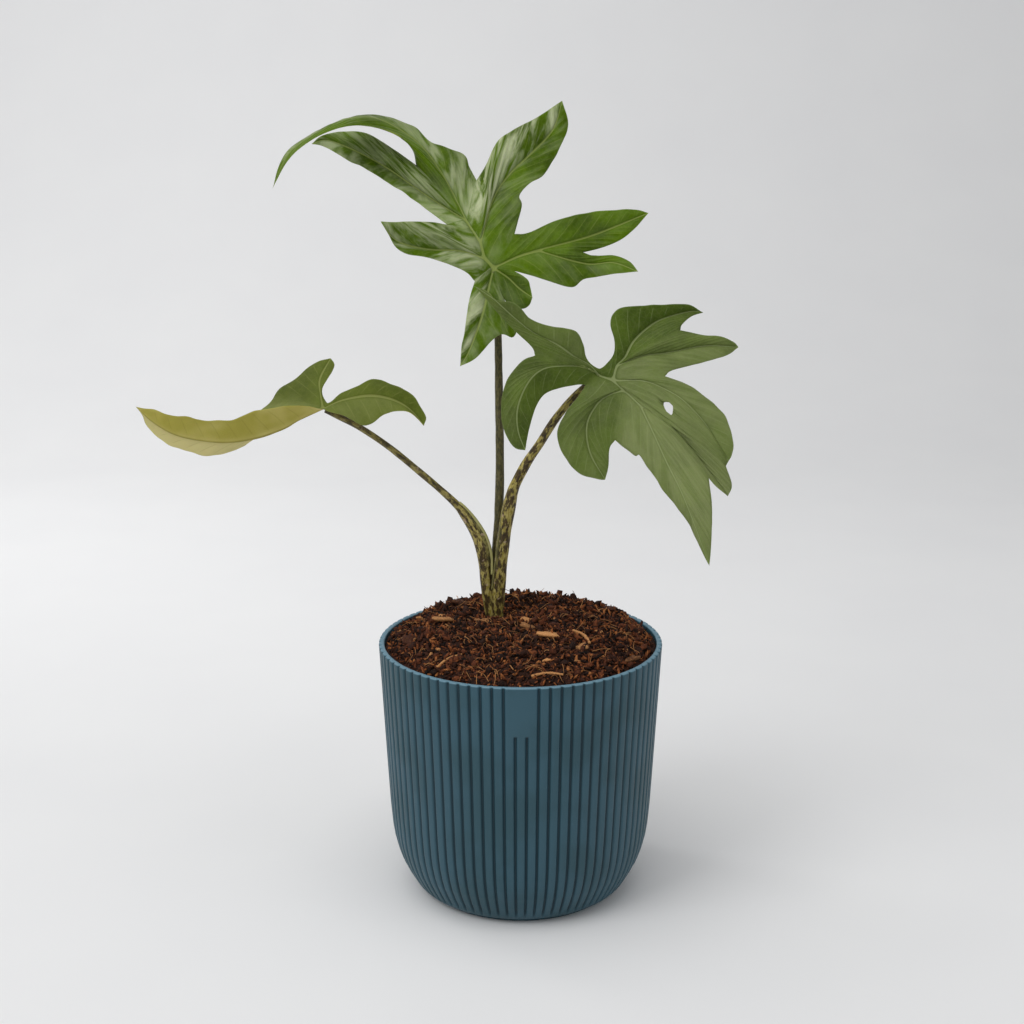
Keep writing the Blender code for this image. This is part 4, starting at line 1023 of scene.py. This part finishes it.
def make_rootstock(material):
    """The swollen stem base: a turned body, lightly ringed, with tapering roots that run down and out."""
    parts = Parts()
    heights, radii = np.array(ROOTSTOCK_PROFILE, float).T
    fine = np.linspace(heights[0], heights[-1], 70)
    radius = np.interp(fine, heights, radii) + 0.12 * np.sin(fine * 2.1)
    path = np.column_stack([np.full(70, STEM_FOOT[0]), np.full(70, STEM_FOOT[1]), fine])
    shape, faces = tube(path, radius, 28)
    parts.add(shape, faces, skin=shape * MM, mottled=0.3, rim=0.3, green=0.0)
    for index in range(ROOT_COUNT):
        angle = tau * (index + 0.35) / ROOT_COUNT
        away = np.array([cos(angle), sin(angle), 0])
        start = np.array([*STEM_FOOT, 104 - 2.5 * (index % 3)])
        reach = ROOT_REACH * (0.8 + 0.2 * sin(2.4 * index))
        route = [start + away * 2, start + away * reach * 0.5 + (0, 0, -9),
                 start + away * reach * 0.85 + (0, 0, -0.5 * ROOT_DROP),
                 start + away * reach + (0, 0, -ROOT_DROP)]
        run = smooth_path(route, 60)
        thick = np.linspace(1.7, 0.7, 61) * (1 + 0.08 * np.sin(np.arange(61) * 0.9))
        shape, faces = tube(run, thick, 12)
        parts.add(shape, faces, skin=shape * MM, mottled=0.1, rim=0.6, green=0.0)
    parts.make("rootstock_and_roots", material, node="rootstock", slot="rootstock")


def chip_shape(x, y, turn, length, width, seed):
    """A broken flake: a rounded block whose outline, top and ends are roughened, dished along its middle."""
    rng = np.random.default_rng(seed)
    tilt = np.linspace(-1, 1, 11)[1:-1, None] * pi / 2
    around = np.arange(20)[None, :] * tau / 20
    outline = (1 + 0.16 * np.sin(3 * around + rng.uniform(0, 6))
               + 0.10 * np.sin(5 * around + rng.uniform(0, 6)))
    flat = np.sign(np.cos(around)) * np.abs(np.cos(around)) ** 0.7 * outline
    side = np.sign(np.sin(around)) * np.abs(np.sin(around)) ** 0.7 * outline
    rings = np.stack([np.cos(tilt) ** 0.5 * flat * length / 2, np.cos(tilt) ** 0.5 * side * width / 2,
                      np.sin(tilt) * 1.1 + 0.25 * flat ** 2 + 0.5 * side ** 2], axis=-1)
    points, quads, ends = closed_stack(rings)
    points[:, 2] += 0.18 * value_noise(points[:, 0], points[:, 1], 1.3, seed)
    turn = radians(turn)
    placed = points @ np.array([[cos(turn), sin(turn), 0], [-sin(turn), cos(turn), 0], [0, 0, 1]])
    lean = rng.uniform(-0.25, 0.25, 2)
    placed[:, 2] += placed[:, 0] * lean[0] + placed[:, 1] * lean[1]
    return placed + (x, y, soil_height(x, y) + 0.7), [quads, ends]


def make_chips(material):
    """The bark chips, each in the place of its solid."""
    for number, (x, y, turn, length, width, tone) in enumerate(CHIPS, 1):
        points, faces = chip_shape(x, y, turn, length, width, 50 + number)
        make_piece(f"bark_flake_{number}", points, faces, material, node=f"bark_chip_{number}", slot="bark",
                   fields={"tone": np.full(len(points), tone)})


def make_small_chips(material):
    """Small pale flakes scattered among the crumbs."""
    rng = np.random.default_rng(77)
    parts = Parts()
    for number in range(SMALL_FLAKE_COUNT):
        reach, turn = 61 * np.sqrt(rng.uniform()), rng.uniform(0, tau)
        length = rng.uniform(1.8, 4.2)
        points, faces = chip_shape(0, 0, rng.uniform(0, 180), length, length * rng.uniform(0.3, 0.6),
                                   100 + number)
        points = (points - points.mean(0)) * (1, 1, 0.5)
        x, y = reach * cos(turn), reach * sin(turn)
        parts.add(points + (x, y, soil_height(x, y) + 1.0), faces, tone=rng.uniform(0.3, 0.9))
    parts.make("small_flakes", material, slot="bark")


def make_twigs(material):
    """The twigs: bent bars with a knot or two, ends broken square."""
    for number, (x, y, turn, length, radius) in enumerate(TWIGS, 1):
        share = np.linspace(-0.5, 0.5, 40)
        along = np.array([cos(radians(turn)), sin(radians(turn))])
        aside = np.array([-along[1], along[0]])
        flat = np.array([x, y]) + share[:, None] * length * along + 0.8 * np.cos(share * 5)[:, None] * aside
        height = soil_height(flat[:, 0], flat[:, 1])
        path = np.column_stack(
            [flat, np.linspace(height[0], height[-1], 40) + 1.2 + 0.6 * np.cos(share * pi)])
        radii = radius * (1 - 0.25 * (share + 0.5) + 0.18 * np.exp(-((share - 0.15) * 16) ** 2))
        shape, faces = tube(path, radii, 14)
        make_piece(f"twig_bar_{number}", shape, faces, material, node=f"twig_{number}", slot="bark",
                   fields={"tone": np.full(len(shape), 0.75)})


# ---------------------------------------------------------------- studio


def make_studio():
    """A pale paper sweep: flat floor that curves up into a wall behind the object."""
    turn = np.linspace(0, pi / 2, 24)
    bend, back = 0.9, 0.9
    y = np.concatenate([[-2.4, 0.0], back + bend * np.sin(turn), [back + bend]])
    z = np.concatenate([[0.0, 0.0], bend * (1 - np.cos(turn)), [3.2]])
    x = np.linspace(-2.6, 2.6, 9)
    points = np.stack([x[None, :] + 0 * y[:, None], y[:, None] + 0 * x, z[:, None] + 0 * x], axis=-1)
    mesh = bpy.data.meshes.new("paper_sweep")
    quads = grid_quads(len(y), len(x))
    mesh.from_pydata(points.reshape(-1, 3).tolist(), [], quads.tolist())
    mesh.shade_smooth()
    mesh.materials.append(studio_paper())
    sweep = bpy.data.objects.new("paper_sweep", mesh)
    bpy.context.scene.collection.objects.link(sweep)


def add_light(name, place, aim, size, watts):
    """A square white soft box of `size` metres at `place`, turned to `aim`."""
    light = bpy.data.lights.new(name, "AREA")
    light.shape = "SQUARE"
    light.size = size
    light.energy = watts
    lamp = bpy.data.objects.new(name, light)
    lamp.location = place
    lamp.rotation_euler = (Vector(aim) - Vector(place)).to_track_quat("-Z", "Y").to_euler()
    bpy.context.scene.collection.objects.link(lamp)


def make_lights():
    """A pale room, a broad box overhead, a key from the upper left, a weak fill, one for the background."""
    add_light("overhead_box", (-0.25, -0.3, 1.5), (-0.1, -0.1, 0.15), 1.4, 9)
    add_light("key_box", (-1.1, -0.9, 1.2), (0, 0, 0.25), 0.9, 8.5)
    add_light("fill_box", (1.3, -0.7, 0.7), (0, 0, 0.2), 1.0, 2)
    add_light("background_box", (-0.7, 0.5, 0.8), (-0.15, 1.45, 0.3), 0.5, 3.5)
    world = bpy.data.worlds.new("studio_room")
    world.use_nodes = True
    background = world.node_tree.nodes["Background"]
    background.inputs["Color"].default_value = linear("#f0f1f2")
    background.inputs["Strength"].default_value = 0.48
    bpy.context.scene.world = world


def make_camera():
    """Eye a little above the plant's middle, looking down 14.5 degrees at the pot's front."""
    camera = bpy.data.cameras.new("front_camera")
    camera.sensor_width = 36
    camera.lens = 59.77
    eye = bpy.data.objects.new("front_camera", camera)
    eye.location = (-0.0042, -0.8, 0.4)
    eye.rotation_euler = (radians(90 - 14.5), 0, 0)
    bpy.context.scene.collection.objects.link(eye)
    bpy.context.scene.camera = eye


def main():
    make_camera()
    make_lights()
    make_studio()
    bpy.context.scene.view_settings.view_transform = "Standard"
    soil = soil_mix()
    bark = bark_wood()
    stalk = stalk_skin()
    make_pot(pot_plastic())
    make_soil(soil)
    for name, kind in CRUMBS.items():
        make_crumbs(name, soil, **kind)
    make_fibres(bark)
    make_rootstock(stalk)
    make_chips(bark)
    make_small_chips(bark)
    make_twigs(bark)
    make_stalks(stalk)
    # Each leaf skin: greens, vein colour, painted sheen colour, underside tones whose last is its pale
    # painted sheen, roughness, patchiness.
    fresh = leaf_skin("young_leaf_skin", ("#384e00", "#4d6800", "#5f7a06"), "#8e9a52", "#b4bb94",
                      ("#66761a", "#7b8838", "#98a160", "#8f9a52"), 0.45, 1.0)
    mature = leaf_skin("mature_leaf_skin", ("#384a08", "#495d12", "#586a20"), "#8f9968", "#8a9262",
                       ("#6c7840", "#7d8850", "#9ba070", "#858f5c"), 0.52, 0.35)
    ageing = leaf_skin("ageing_leaf_skin", ("#424e0c", "#536016", "#646e26"), "#8a8f50", "#888e54",
                       ("#a0972e", "#b8ad58", "#7f7832", "#d2c78e"), 0.5, 0.4)
    make_blade("blade_top", TOP_LEAF, fresh, "leaf_blade_top")
    make_blade("blade_right", RIGHT_LEAF, mature, "leaf_blade_right")
    make_blade("blade_left", LEFT_LEAF, ageing, "leaf_blade_left")


main()
